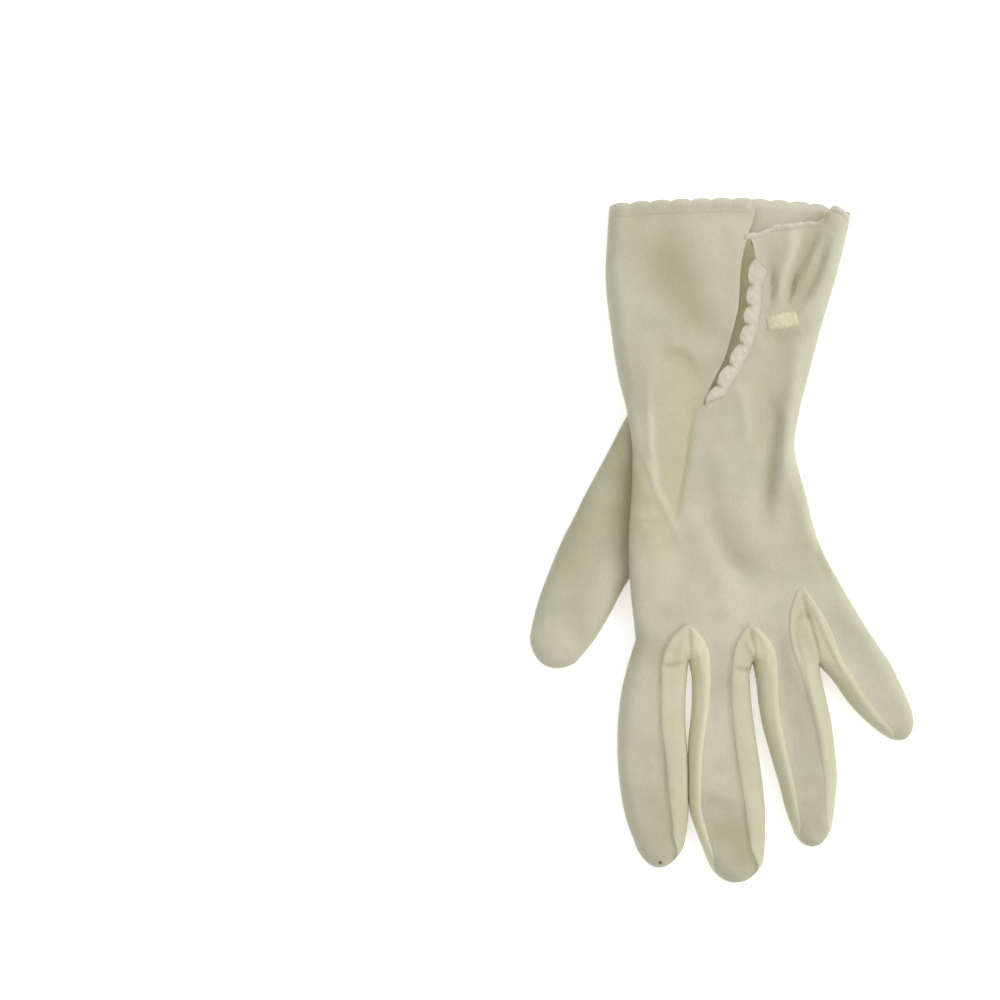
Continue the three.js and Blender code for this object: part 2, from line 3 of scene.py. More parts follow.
import bpy
import numpy as np
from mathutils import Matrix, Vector


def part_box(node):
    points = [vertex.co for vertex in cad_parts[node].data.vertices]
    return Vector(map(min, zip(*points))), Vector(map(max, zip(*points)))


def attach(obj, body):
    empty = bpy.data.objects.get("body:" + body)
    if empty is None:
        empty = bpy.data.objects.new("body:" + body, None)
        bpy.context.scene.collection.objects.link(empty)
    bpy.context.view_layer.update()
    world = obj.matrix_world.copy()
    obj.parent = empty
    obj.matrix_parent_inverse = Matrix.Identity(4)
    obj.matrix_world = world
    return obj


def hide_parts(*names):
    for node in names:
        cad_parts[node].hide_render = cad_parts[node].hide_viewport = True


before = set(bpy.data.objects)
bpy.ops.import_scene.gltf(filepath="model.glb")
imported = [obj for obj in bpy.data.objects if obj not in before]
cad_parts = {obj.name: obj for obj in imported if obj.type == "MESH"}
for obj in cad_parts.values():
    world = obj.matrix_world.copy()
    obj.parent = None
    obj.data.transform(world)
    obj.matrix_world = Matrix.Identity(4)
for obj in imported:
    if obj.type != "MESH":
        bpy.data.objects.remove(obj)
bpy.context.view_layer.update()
print("frame loaded")

# The cloth is laid out from the middle of the hem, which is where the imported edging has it
edgingLow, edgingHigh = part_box("cuff_edging")
hemMiddle = np.array([(edgingLow.x + edgingHigh.x) / 2, edgingHigh.y])

hand = {
    "cuffWidth": 0.086,
    "length": 0.162,
    "rise": 0.0100,
    "fingerRise": 0.0086,
    "fingerFall": (0.85, 1.1),  # where the back slopes down to the fingers, in hand lengths
    "edgeRound": 0.0054,
    "underRound": 0.0030,
    "rimShare": 0.42,
    # Height of the hem above the layout's origin: across in cuff shares, height in metres
    "hem": [(0.00, 0.0001), (0.20, 0.0014), (0.39, 0.0020), (0.60, 0.0019), (0.85, 0.0003), (1.00, -0.0018)],
    "wall": 0.0004,
    "rows": 150,
    "columnsPerFinger": 24,
    "crowding": 0.6,
    # Slow waves in the cloth: radians to a centimetre across and down, and where each starts
    "waves": [(1.9, 0.7, 0.0), (-1.3, 1.1, 2.0), (0.4, 2.6, 0.0)],
    "waveHeight": 0.00022,
}

# Edges of the hand: down in hand lengths, left and right in cuff widths
handEdges = [
    (0.000, -0.499, 0.499),
    (0.055, -0.506, 0.482),
    (0.160, -0.514, 0.433),
    (0.270, -0.493, 0.371),
    (0.370, -0.464, 0.322),
    (0.450, -0.428, 0.284),
    (0.530, -0.407, 0.264),
    (0.630, -0.411, 0.309),
    (0.740, -0.423, 0.367),
    (0.840, -0.415, 0.466),
    (0.948, -0.391, 0.590),
]

# Where one finger turns into the next: across in cuff widths, down in hand lengths
rootPoints = [(-0.391, 0.948), (-0.172, 0.996), (0.091, 1.000), (0.367, 1.007), (0.590, 0.946)]

# Edges of a finger: along in finger lengths, left and right in finger widths
fingers = {
    "index": {
        "length": 0.0770, "width": 0.0247, "turn": -0.9, "edges": [
            (0.10, -0.514, 0.364), (0.20, -0.579, 0.350), (0.35, -0.619, 0.353),
            (0.50, -0.614, 0.396), (0.65, -0.564, 0.411), (0.78, -0.476, 0.410),
            (0.89, -0.345, 0.362), (0.96, -0.278, 0.290), (1.00, -0.250, 0.260)]},
    "middle": {
        "length": 0.0783, "width": 0.0254, "turn": 4.1, "edges": [
            (0.08, -0.420, 0.385), (0.20, -0.452, 0.388), (0.35, -0.530, 0.415),
            (0.50, -0.569, 0.452), (0.65, -0.580, 0.472), (0.78, -0.486, 0.452),
            (0.89, -0.380, 0.412), (0.96, -0.325, 0.355), (1.00, -0.310, 0.340)]},
    "ring": {
        "length": 0.0652, "width": 0.0242, "turn": 8.3, "edges": [
            (0.08, -0.470, 0.476), (0.20, -0.482, 0.507), (0.33, -0.467, 0.534),
            (0.50, -0.406, 0.528), (0.65, -0.350, 0.500), (0.78, -0.314, 0.420),
            (0.89, -0.250, 0.335), (0.96, -0.220, 0.270), (1.00, -0.200, 0.250)]},
    "little": {
        "length": 0.0371, "width": 0.0203, "turn": 34.9, "edges": [
            (0.12, -0.485, 0.520), (0.24, -0.480, 0.520), (0.36, -0.482, 0.510),
            (0.50, -0.459, 0.470), (0.65, -0.410, 0.420), (0.80, -0.330, 0.360),
            (0.90, -0.255, 0.280), (0.96, -0.210, 0.220), (1.00, -0.180, 0.180)]},
}
fingerSheet = {"rows": 72, "capStart": 0.90, "tipCrowding": 1.35}

thumb = {
    "start": (-0.168, 0.447), "length": 0.104, "width": 0.027, "rise": 0.0068, "turn": -28.7,
    "rampWidth": 0.012, "seamGap": 0.0003, "liftShare": 0.5, "rows": 110, "columns": 30,
    "capStart": 0.93, "edgeRound": 0.005, "clearance": 0.00015, "crowding": 0.7,
    # Folds: path of (across, down), half width in metres, height in metres
    "folds": [
        ([(-0.660, 0.905), (-0.620, 0.955), (-0.560, 0.965)], 0.0040, -0.0009),
        ([(-0.740, 0.920), (-0.700, 0.985)], 0.0040, 0.0006),
        ([(-0.450, 0.540), (-0.520, 0.720), (-0.600, 0.860)], 0.0055, -0.0008),
        ([(-0.500, 0.730), (-0.570, 0.900)], 0.0030, 0.0005),
        ([(-0.700, 0.960), (-0.650, 1.005)], 0.0012, -0.0004),
    ],
    # Painted shade and painted highlight, as in the back's own list; first the hand's shadow on the thumb
    "paintedShadings": [
        ([(-0.432, 0.440), (-0.408, 0.577), (-0.425, 0.820)], 0.0070, 0.95),
        ([(-0.470, 0.440), (-0.500, 0.560)], 0.0060, 0.30),
        ([(-0.559, 0.599), (-0.640, 0.740), (-0.690, 0.850)], 0.0085, 0.65),
        ([(-0.489, 0.760), (-0.540, 0.860), (-0.585, 0.950)], 0.0032, -0.35),
        ([(-0.735, 0.930), (-0.690, 1.000)], 0.0050, -0.25),
    ],
    "edges": [
        (0.00, -0.650, 0.400), (0.13, -0.685, 0.560), (0.24, -0.675, 0.640),
        (0.42, -0.670, 0.655), (0.51, -0.655, 0.510), (0.60, -0.645, 0.375),
        (0.75, -0.580, 0.370), (0.84, -0.520, 0.355), (0.94, -0.410, 0.285),
        (1.00, -0.330, 0.220)],
}

# The palm rises over the thumb inside this line: across in cuff widths, down in hand lengths
thumbSeam = [
    (-0.620, 0.390), (-0.400, 0.395), (-0.345, 0.470), (-0.300, 0.600), (-0.240, 0.690),
    (-0.185, 0.790), (-0.220, 0.880), (-0.320, 0.950), (-0.420, 0.980), (-0.620, 0.980),
]

# Folds in the back: path of (across, down), half width in metres, height in metres
folds = [
    ([(-0.330, 0.020), (-0.240, 0.170), (-0.080, 0.330)], 0.0080, -0.0013),
    ([(-0.400, 0.190), (-0.270, 0.250), (-0.060, 0.345)], 0.0055, 0.0012),
    ([(-0.010, 0.020), (0.020, 0.120), (-0.010, 0.250)], 0.0050, 0.0007),
    ([(0.370, 0.030), (0.300, 0.115), (0.250, 0.165), (0.228, 0.235)], 0.0026, -0.0026),
    ([(0.400, 0.060), (0.330, 0.165), (0.255, 0.235)], 0.0020, -0.0018),
    ([(0.240, 0.040), (0.240, 0.095), (0.208, 0.160), (0.182, 0.235)], 0.0026, 0.0016),
    ([(0.290, 0.130), (0.262, 0.180), (0.240, 0.230)], 0.0009, 0.0008),
    ([(0.156, 0.140), (0.163, 0.180), (0.154, 0.220)], 0.0012, -0.0013),
    ([(0.150, 0.292), (0.215, 0.290), (0.285, 0.276)], 0.0022, -0.0012),
    ([(0.266, 0.285), (0.262, 0.360), (0.240, 0.450)], 0.0030, 0.0011),
    ([(0.030, 0.385), (0.065, 0.480), (0.061, 0.540)], 0.0030, 0.0011),
    ([(0.120, 0.420), (0.105, 0.560)], 0.0070, -0.0008),
    ([(0.176, 0.420), (0.182, 0.487), (0.165, 0.551), (0.147, 0.622), (0.130, 0.705)], 0.0032, -0.0022),
    ([(0.215, 0.400), (0.222, 0.520), (0.200, 0.660)], 0.0042, 0.0012),
    ([(-0.130, 0.610), (-0.053, 0.739), (0.033, 0.795), (0.160, 0.835)], 0.0048, -0.0017),
    ([(-0.140, 0.660), (-0.081, 0.758), (0.000, 0.850)], 0.0046, 0.0012),
    ([(0.000, 0.600), (0.060, 0.700), (0.110, 0.800)], 0.0060, 0.0008),
    ([(0.325, 0.720), (0.430, 0.850)], 0.0030, -0.0011),
    ([(0.290, 0.620), (0.385, 0.790)], 0.0036, 0.0009),
    ([(-0.410, 0.940), (-0.270, 0.990)], 0.0045, -0.0009),
    ([(-0.330, 1.220), (-0.220, 1.280)], 0.0060, -0.0009),
    ([(-0.440, 1.100), (-0.300, 1.200)], 0.0070, 0.0006),
    ([(-0.110, 1.285), (0.060, 1.298)], 0.0024, 0.0007),
    ([(-0.080, 1.330), (0.070, 1.410)], 0.0070, -0.0010),
    ([(0.290, 1.020), (0.350, 1.110), (0.390, 1.200)], 0.0022, 0.0009),
    ([(0.230, 1.080), (0.290, 1.220)], 0.0040, -0.0008),
    ([(0.480, 0.960), (0.620, 1.080)], 0.0060, -0.0008),
]

# Seams of the thumb's gusset, pressed up through the back: path, half width and height as above
gussetSeams = [
    ([(-0.335, 0.400), (-0.330, 0.345), (-0.300, 0.318), (-0.240, 0.312), (-0.170, 0.325), (-0.112, 0.380)],
     0.0022, 0.0005),
    ([(-0.338, 0.380), (-0.341, 0.464), (-0.317, 0.606), (-0.276, 0.660), (-0.238, 0.702), (-0.208, 0.750)],
     0.0015, 0.0008),
    ([(-0.370, 0.545), (-0.345, 0.575), (-0.322, 0.612)], 0.0009, 0.0004),
    ([(-0.146, 0.450), (-0.171, 0.503), (-0.184, 0.560), (-0.202, 0.616), (-0.231, 0.688)], 0.0012, -0.0004),
]

# Painted shade (above 0) and painted highlight (below 0) on the back: shade in valleys, gaps, notches
# and beside seams, highlight on ridges that turn to the light, and in a few places darker where the
# cloth lies double: path of (across, down), half width in metres, amount
paintedShadings = [
    ([(-0.330, 0.050), (-0.240, 0.170), (-0.100, 0.320)], 0.0100, 0.78),
    ([(-0.400, 0.320), (-0.382, 0.400), (-0.372, 0.470)], 0.0035, 0.40),
    ([(-0.400, 0.215), (-0.270, 0.270), (-0.120, 0.330)], 0.0050, -0.30),
    ([(0.000, 0.060), (0.020, 0.140), (-0.020, 0.230)], 0.0060, -0.25),
    ([(-0.500, 0.080), (-0.505, 0.220)], 0.0040, 0.15),
    ([(0.345, 0.045), (0.290, 0.130), (0.232, 0.232)], 0.0034, 0.85),
    ([(0.400, 0.080), (0.330, 0.175), (0.262, 0.228)], 0.0022, 0.50),
    ([(0.243, 0.060), (0.235, 0.110), (0.200, 0.185)], 0.0026, -0.45),
    ([(0.160, 0.060), (0.170, 0.110), (0.158, 0.215)], 0.0030, 0.40),
    ([(0.440, 0.060), (0.400, 0.160)], 0.0060, -0.15),
    ([(0.150, 0.282), (0.215, 0.292), (0.285, 0.272)], 0.0024, 0.45),
    ([(0.160, 0.330), (0.180, 0.400)], 0.0080, 0.25),
    ([(0.266, 0.300), (0.260, 0.430)], 0.0026, -0.40),
    ([(0.033, 0.410), (0.065, 0.480), (0.061, 0.525)], 0.0020, -0.35),
    ([(0.120, 0.430), (0.105, 0.560)], 0.0050, 0.30),
    ([(0.176, 0.430), (0.182, 0.487), (0.165, 0.551), (0.138, 0.680)], 0.0024, 0.70),
    ([(0.225, 0.470), (0.210, 0.600)], 0.0036, -0.35),
    ([(-0.110, 0.637), (-0.053, 0.739), (0.033, 0.795), (0.132, 0.822)], 0.0044, 0.40),
    ([(-0.124, 0.683), (-0.081, 0.758), (-0.010, 0.840)], 0.0040, -0.40),
    ([(-0.062, 0.530), (-0.050, 0.610)], 0.0055, 0.25),
    ([(0.012, 0.560), (0.030, 0.640)], 0.0060, -0.35),
    ([(0.262, 0.590), (0.288, 0.690), (0.330, 0.780)], 0.0040, 0.40),
    ([(0.338, 0.743), (0.416, 0.826)], 0.0024, 0.55),
    ([(0.303, 0.645), (0.375, 0.758)], 0.0026, -0.40),
    ([(0.400, 0.880), (0.500, 0.960)], 0.0060, 0.22),
    ([(-0.060, 0.890), (0.180, 0.880)], 0.0100, -0.90),
    ([(-0.390, 0.960), (-0.290, 0.990)], 0.0050, 0.45),
    ([(-0.440, 1.080), (-0.340, 1.170)], 0.0080, -0.20),
    ([(-0.330, 1.240), (-0.300, 1.330), (-0.300, 1.440)], 0.0080, 0.45),
    ([(-0.070, 1.110), (-0.040, 1.230)], 0.0060, -0.75),
    ([(-0.090, 1.330), (0.020, 1.400), (0.060, 1.470)], 0.0080, 0.68),
    ([(0.230, 1.050), (0.290, 1.240)], 0.0040, 0.22),
    ([(0.330, 1.280), (0.340, 1.380)], 0.0070, 0.42),
    ([(0.540, 1.000), (0.640, 1.100)], 0.0050, -0.25),
    ([(0.640, 1.130), (0.700, 1.160)], 0.0050, 0.30),
    ([(-0.338, 0.400), (-0.338, 0.464), (-0.315, 0.606), (-0.272, 0.662), (-0.236, 0.705)], 0.0014, -0.75),
    ([(-0.146, 0.440), (-0.171, 0.503), (-0.184, 0.560), (-0.202, 0.616), (-0.231, 0.690)], 0.0006, 0.80),
    ([(-0.155, 0.460), (-0.190, 0.560), (-0.225, 0.660)], 0.0026, 0.25),
    ([(-0.300, 0.322), (-0.235, 0.318), (-0.170, 0.335), (-0.130, 0.375)], 0.0016, 0.30),
    ([(-0.400, 0.560), (-0.380, 0.625), (-0.320, 0.672)], 0.0042, 0.75),
    ([(-0.405, 0.688), (-0.290, 0.690)], 0.0006, 0.35),
    ([(-0.385, 0.720), (-0.300, 0.730)], 0.0045, 0.30),
    ([(-0.480, 0.100), (-0.485, 0.200), (-0.470, 0.270)], 0.0026, -0.35),
    ([(0.207, 0.890), (0.215, 0.970), (0.244, 1.057)], 0.0028, 0.55),
    ([(0.420, 0.930), (0.520, 1.040)], 0.0030, -0.20),
    ([(0.376, 0.018), (0.389, 0.034)], 0.0013, 1.00),
]

slit = {
    "edgeCurl": 0.0004, "curlWidth": 0.0030, "wall": 0.0005, "seam": 0.0038, "leastSeam": 0.0008,
    "taperFrom": 0.88, "columns": 18, "rows": 320, "lift": 0.0002, "puff": 0.0008, "lobeRound": 0.65,
    "overlap": 0.0006, "welt": 0.0001, "weltAt": 0.70, "weltWidth": 0.10, "tuck": 0.0006, "valley": 0.45,
    "leafShare": 0.07, "leafBulge": 0.0012, "leafWidth": 0.05, "dimple": 0.16, "jointWidth": 0.0009,
    # Joints between two lobes of the scalloped edge, from the top of the leaf down
    "joints": [(0.096, 0.119), (0.079, 0.178), (0.073, 0.222), (0.060, 0.263),
               (0.037, 0.305), (-0.008, 0.351), (-0.058, 0.396), (-0.113, 0.436)],
    "bulges": [0.0018, 0.0015, 0.0017, 0.0013, 0.0015, 0.0017, 0.0012],
    # The flap's own edge above the leaf
    "corner": [
        (0.101, -0.060), (0.099, 0.020), (0.067, 0.068), (0.082, 0.084), (0.090, 0.098), (0.096, 0.119)],
    # The plain edge on the other side of the slit
    "plainEdge": [(0.098, -0.060), (0.096, 0.010), (0.082, 0.042), (0.063, 0.070), (0.037, 0.133),
                  (0.026, 0.223), (0.012, 0.257), (-0.009, 0.298), (-0.030, 0.335), (-0.060, 0.368),
                  (-0.089, 0.398), (-0.118, 0.434)],
    "flapTop": 0.069, "shadeWidth": 0.0012,
}

edging = {
    "band": 0.0046, "scallop": 0.0010, "count": 12,
    "flapBand": 0.0019, "flapScallop": 0.0006, "flapCount": 21,
    "wall": 0.0005, "rows": 12, "columns": 240, "overlap": 0.0006, "lift": 0.0001, "welt": 0.0001,
    "puff": 0.0004, "crowding": 0.75, "weltAt": 0.85, "weltWidth": 0.10, "tuck": 0.0004, "sideFade": 0.02,
    # Behind the flap the palm's edging stands higher and reaches deeper: by how much, and the
    # shares of the hem between which it rises to that and falls back
    "palmRise": 0.0010, "risen": ((0.53, 0.60), (0.84, 0.95)),
    "palmDeeper": 0.0012, "deepened": ((0.58, 0.615), (0.86, 0.90)),
    # How far the flap's hem lies below the other one: across in cuff widths, drop in metres
    "flapDrop": [(0.057, 0.0122), (0.114, 0.0116), (0.147, 0.0107), (0.188, 0.0086), (0.242, 0.0078),
                 (0.295, 0.0067), (0.336, 0.0061), (0.369, 0.0055), (0.387, 0.0036), (0.397, 0.0014),
                 (0.417, -0.0003), (0.454, 0.0001), (0.481, 0.0014), (0.500, 0.0020)],
}

# Side strips between two fingers: the fingers, the apex of the pointed top, the strip's width on
# each finger at the root, halfway and near the tip, how far the two sides of the top swell, and
# the painted shade (above 0) or painted highlight (below 0) on the left seam, the right seam and the right
# leg
sideStrips = {
    "fourchette_index_middle": {
        "fingers": ("index", "middle"), "apex": (-0.180, 0.909), "left": (0.0100, 0.0086, 0.0054),
        "right": (0.0068, 0.0048, 0.0032), "bows": (0.0004, 0.0012), "paintedShadings": (0.80, -0.30, -0.55)},
    "fourchette_middle_ring": {
        "fingers": ("middle", "ring"), "apex": (0.074, 0.908), "left": (0.0074, 0.0084, 0.0058),
        "right": (0.0078, 0.0058, 0.0036), "bows": (-0.0006, 0.0012), "paintedShadings": (0.80, -0.25, -0.25)},
    "fourchette_ring_little": {
        "fingers": ("ring", "little"), "apex": (0.282, 0.824), "left": (0.0075, 0.0062, 0.0038),
        "right": (0.0076, 0.0058, 0.0036), "bows": (-0.0090, -0.0056), "paintedShadings": (-0.20, -0.30, -0.10)},
}
strip = {
    "stations": (0.04, 0.50, 0.84), "end": 0.968, "archRise": 0.62, "legRows": 120, "archRows": 24,
    "columns": 20, "tuck": 0.0005, "welt": 0.0003, "weltAt": 0.0019, "weltWidth": 0.0013,
    "lift": 0.0001, "overlap": 0.0007, "wall": 0.0004, "smoothings": 4, "paintedShadingWidth": 0.0008,
    "acrossPower": 1.4, "palmShare": 0.35,
}

# Creases and small folds in the strips: path of (across, down), half width, height in metres
creases = [
    ([(-0.176, 0.912), (-0.172, 0.950), (-0.168, 1.004)], 0.0007, -0.0005),
    ([(-0.196, 0.935), (-0.215, 1.000)], 0.0010, 0.0003),
    ([(-0.160, 0.935), (-0.130, 0.985), (-0.120, 1.060)], 0.0012, 0.0004),
    ([(-0.286, 1.008), (-0.240, 1.003), (-0.190, 0.998)], 0.0008, -0.0006),
    ([(0.083, 0.912), (0.079, 0.940), (0.092, 0.965), (0.096, 1.006)], 0.0007, -0.0005),
    ([(0.058, 0.945), (0.088, 0.976), (0.118, 0.990)], 0.0009, 0.0005),
    ([(0.100, 0.925), (0.135, 0.960), (0.150, 1.020)], 0.0012, 0.0004),
    ([(0.010, 1.006), (0.050, 1.014), (0.092, 1.010)], 0.0008, -0.0006),
    ([(0.285, 0.838), (0.300, 0.880), (0.340, 0.945), (0.364, 1.000)], 0.0008, -0.0006),
    ([(0.258, 0.870), (0.290, 0.862), (0.315, 0.870)], 0.0007, 0.0004),
    ([(0.262, 0.905), (0.290, 0.890), (0.325, 0.905)], 0.0007, -0.0005),
    ([(0.300, 0.850), (0.345, 0.890), (0.405, 0.960), (0.470, 1.030)], 0.0010, 0.0006),
    ([(0.270, 0.930), (0.310, 1.010), (0.345, 1.100)], 0.0012, 0.0004),
]

elastic = {
    "middle": (0.205, 0.256), "length": 0.0110, "width": 0.0056, "thick": 0.0007, "turn": 11,
    "ribs": 11, "ribHeight": 0.00010, "cuts": 36, "sunk": 0.0004,
    "dark": (190, 186, 153), "bright": (204, 199, 167), "grainSize": 0.0012,
}

# Where the back shows more than one layer: outline of (across, down), and how strongly
layeredAreas = [
    ([(-0.335, 0.370), (-0.330, 0.335), (-0.300, 0.312), (-0.240, 0.305), (-0.170, 0.320), (-0.125, 0.360),
      (-0.118, 0.410), (-0.139, 0.457), (-0.160, 0.532), (-0.195, 0.626), (-0.222, 0.690), (-0.217, 0.735),
      (-0.259, 0.675), (-0.295, 0.614), (-0.309, 0.540), (-0.337, 0.464)], 0.60),
    ([(-0.440, 0.560), (-0.345, 0.560), (-0.290, 0.650),
      (-0.214, 0.738), (-0.290, 0.772), (-0.440, 0.775)], 0.55),
]

# The blocks that cut the cloth reach this far below and above it, past the hem and, in shares of
# the hem, past its two ends
cuts = {"below": -0.001, "above": 0.030, "pastHem": 0.03, "ends": (-0.2, 1.2)}


def place(across, down):
    return np.array([across * hand["cuffWidth"], -down * hand["length"]])


def placeAll(path):
    return np.array([place(across, down) for across, down in path])


def smoothstep(low, high, value):
    t = np.clip((value - low) / (high - low), 0, 1)
    return t * t * (3 - 2 * t)


def tableValue(rows, column, at):
    table = np.array(rows, float)
    keys, values = table[:, 0], table[:, column]
    slopes = np.gradient(values, keys)
    slopes[1:-1] = (values[2:] - values[:-2]) / (keys[2:] - keys[:-2])
    at = np.clip(np.asarray(at, float), keys[0], keys[-1])
    i = np.clip(np.searchsorted(keys, at) - 1, 0, len(keys) - 2)
    span = keys[i + 1] - keys[i]
    t = (at - keys[i]) / span
    bend = (t**3 - 2 * t**2 + t) * slopes[i] + (t**3 - t**2) * slopes[i + 1]
    return values[i] + (values[i + 1] - values[i]) * (3 * t**2 - 2 * t**3) + bend * span


def smoothPath(points, count):
    # A Catmull-Rom curve through the points, at even steps of length
    points = np.asarray(points, float)
    lengths = np.concatenate([[0], np.cumsum(np.linalg.norm(np.diff(points, axis=0), axis=1))])
    columns = [np.column_stack([lengths, points[:, k]]) for k in (0, 1)]
    at = np.linspace(0, lengths[-1], count)
    return np.column_stack([tableValue(rows, 1, at) for rows in columns])


def pathDistance(points, path):
    best = np.full(len(points), np.inf)
    for a, b in zip(path[:-1], path[1:]):
        step = b - a
        reach = max(step @ step, 1e-14)
        t = np.clip(((points - a) @ step) / reach, 0, 1)
        best = np.minimum(best, np.hypot(*(points - a - t[:, None] * step).T))
    return best


def ridge(points, path, width):
    # 1 along the path, falling off to its sides and towards its two ends
    curve = smoothPath(placeAll(path), 20)
    near = pathDistance(points, curve)
    reach = np.linalg.norm(np.diff(curve, axis=0), axis=1).sum() * 0.3
    ends = np.minimum(np.hypot(*(points - curve[0]).T), np.hypot(*(points - curve[-1]).T))
    return falloff(near, width) * smoothstep(-0.4 * reach, reach, ends)


def ridges(points, rows):
    return sum(amount * ridge(points, path, width) for path, width, amount in rows)


def falloff(distance, width):
    return np.exp(-((distance / width) ** 2))


def between(rise, fall, value):
    return smoothstep(*rise, value) * (1 - smoothstep(*fall, value))


def atEnds(share):
    return (share < 1e-6) | (share > 1 - 1e-6)


def insideOutline(points, outline):
    inside = np.zeros(len(points), bool)
    for a, b in zip(outline, np.roll(outline, -1, axis=0)):
        if a[1] == b[1]:
            continue
        crosses = (a[1] > points[:, 1]) != (b[1] > points[:, 1])
        meets = a[0] + (b[0] - a[0]) * (points[:, 1] - a[1]) / (b[1] - a[1])
        inside ^= crosses & (points[:, 0] < meets)
    return inside


def depthInside(points, outline):
    closed = np.vstack([outline, outline[:1]])
    distance = pathDistance(points, closed)
    return np.where(insideOutline(points, outline), distance, -distance)


# Layout of the hand and fingers

roots = placeAll(rootPoints)
rootShares = (roots[:, 0] - roots[0, 0]) / (roots[-1, 0] - roots[0, 0])


def crowded(t, amount):
    return t + amount * ((1 - np.cos(np.pi * t)) / 2 - t)


def fingerShare(u):
    number = np.minimum((u * 4).astype(int), 3)
    t = crowded(u * 4 - number, hand["crowding"])
    return rootShares[number] + (rootShares[number + 1] - rootShares[number]) * t


def hemHeight(share):
    return tableValue(hand["hem"], 1, share)


def edgeAt(y, column):
    return tableValue(handEdges, column, -y / hand["length"]) * hand["cuffWidth"]


def acrossHand(share, y):
    left, right = edgeAt(y, 1), edgeAt(y, 2)
    return np.column_stack([left + (right - left) * share, y])


def handPoint(u, row):
    atHem = crowded(u, hand["crowding"])
    share = atHem + (fingerShare(u) - atHem) * row**2
    rootY = np.interp(share, rootShares, roots[:, 1])
    return acrossHand(share, hemHeight(share) + (rootY - hemHeight(share)) * row)


def limbAxis(start, degrees):
    # Where a finger starts, the way it points, and the way across it
    turn = math.radians(degrees)
    return start, np.array([math.sin(turn), -math.cos(turn)]), np.array([math.cos(turn), math.sin(turn)])


def fingerAxis(name):
    number = list(fingers).index(name)
    return limbAxis((roots[number] + roots[number + 1]) / 2, fingers[name]["turn"])


def limbPoint(axis, limb, along, share, capStart):
    start, forward, sideways = axis
    left = tableValue(limb["edges"], 1, along) * limb["width"]
    right = tableValue(limb["edges"], 2, along) * limb["width"]
    cap = np.sqrt(np.clip(1 - np.clip((along - capStart) / (1 - capStart), 0, 1) ** 2, 0, 1))
    offset = (left + right) / 2 + (share - 0.5) * (right - left) * cap
    return start + forward * (along * limb["length"])[:, None] + sideways * offset[:, None]


def fingerPoint(name, along, share):
    # From the root line to the first row of edges the finger turns smoothly out of the hand
    number = list(fingers).index(name)
    axis, limb = fingerAxis(name), fingers[name]
    first = limb["edges"][0][0]
    step = 0.01
    root = roots[number] + (roots[number + 1] - roots[number]) * share[:, None]
    beyond = limbPoint(axis, limb, np.maximum(along, first), share, fingerSheet["capStart"])
    at = limbPoint(axis, limb, np.full_like(along, first), share, fingerSheet["capStart"])
    ahead = limbPoint(axis, limb, np.full_like(along, first + step), share, fingerSheet["capStart"])
    t = np.clip(along / first, 0, 1)[:, None]
    slope = (ahead - at) / step * first
    curve = root + (at - root) * (t + t**2 - t**3) + (t**3 - t**2) * slope
    return np.where((along < first)[:, None], curve, beyond)


def fingerAlong(v):
    return 1 - (1 - v) ** fingerSheet["tipCrowding"]


def fingerEdge(name, along, onRight):
    return fingerPoint(name, along, np.full_like(along, 1.0 if onRight else 0.0))


def handOutline():
    down = np.linspace(0, 1, hand["rows"] + 1)
    forward = np.linspace(0, 1, fingerSheet["rows"] + 1)
    sides = [handPoint(np.full_like(down, side), down) for side in (0.0, 1.0)]
    pieces = [sides[0]]
    for name in fingers:
        pieces.append(fingerEdge(name, fingerAlong(forward), False))
        pieces.append(fingerEdge(name, fingerAlong(forward), True)[::-1])
    pieces.append(sides[1][::-1])
    return np.vstack(pieces)


outline = handOutline()
seamOutline = placeAll(thumbSeam)
plainLine = smoothPath(placeAll(slit["plainEdge"]), 60)


def palmLift(points):
    depth = depthInside(points, seamOutline)
    return (thumb["rise"] + thumb["seamGap"]) * smoothstep(0, thumb["rampWidth"], depth)


def foldHeight(points):
    x, y = points.T / 0.01
    waves = sum(np.sin(across * x + down * y + start) for across, down, start in hand["waves"])
    height = hand["waveHeight"] * waves + ridges(points, folds + gussetSeams)
    # The plain edge of the slit curls up
    return height + slit["edgeCurl"] * falloff(pathDistance(points, plainLine), slit["curlWidth"])


def quarterRound(distance, radius):
    t = np.minimum(distance / radius, 1)
    return np.sqrt(np.clip(1 - (1 - t) ** 2, 0, 1))


def clothHeights(points):
    lift = palmLift(points)
    slope = smoothstep(*hand["fingerFall"], -points[:, 1] / hand["length"])
    rise = hand["rise"] + (hand["fingerRise"] - hand["rise"]) * slope
    top = rise + lift * thumb["liftShare"]
    return lift, lift + hand["rimShare"] * (top - lift), top


def rimDistance(points, onRim):
    distance = pathDistance(points, outline)
    return distance if onRim is None else np.where(onRim, 0, distance)


def backHeight(points, onRim=None):
    _, rim, top = clothHeights(points)
    rounding = quarterRound(rimDistance(points, onRim), hand["edgeRound"])
    return rim + (top + foldHeight(points) * rounding - rim) * rounding


def palmHeight(points, onRim=None):
    lift, rim, _ = clothHeights(points)
    return rim + (lift - rim) * quarterRound(rimDistance(points, onRim), hand["underRound"])


# Making sheets from grids, and joining, thickening and cutting them

def selectOnly(obj):
    bpy.ops.object.select_all(action="DESELECT")
    obj.select_set(True)
    bpy.context.view_layer.objects.active = obj


def readPlaces(obj):
    co = np.empty(len(obj.data.vertices) * 3, np.float32)
    obj.data.vertices.foreach_get("co", co)
    return co.reshape(-1, 3).astype(float)


def writePlaces(obj, places):
    obj.data.vertices.foreach_set("co", places.astype(np.float32).ravel())
    obj.data.update()


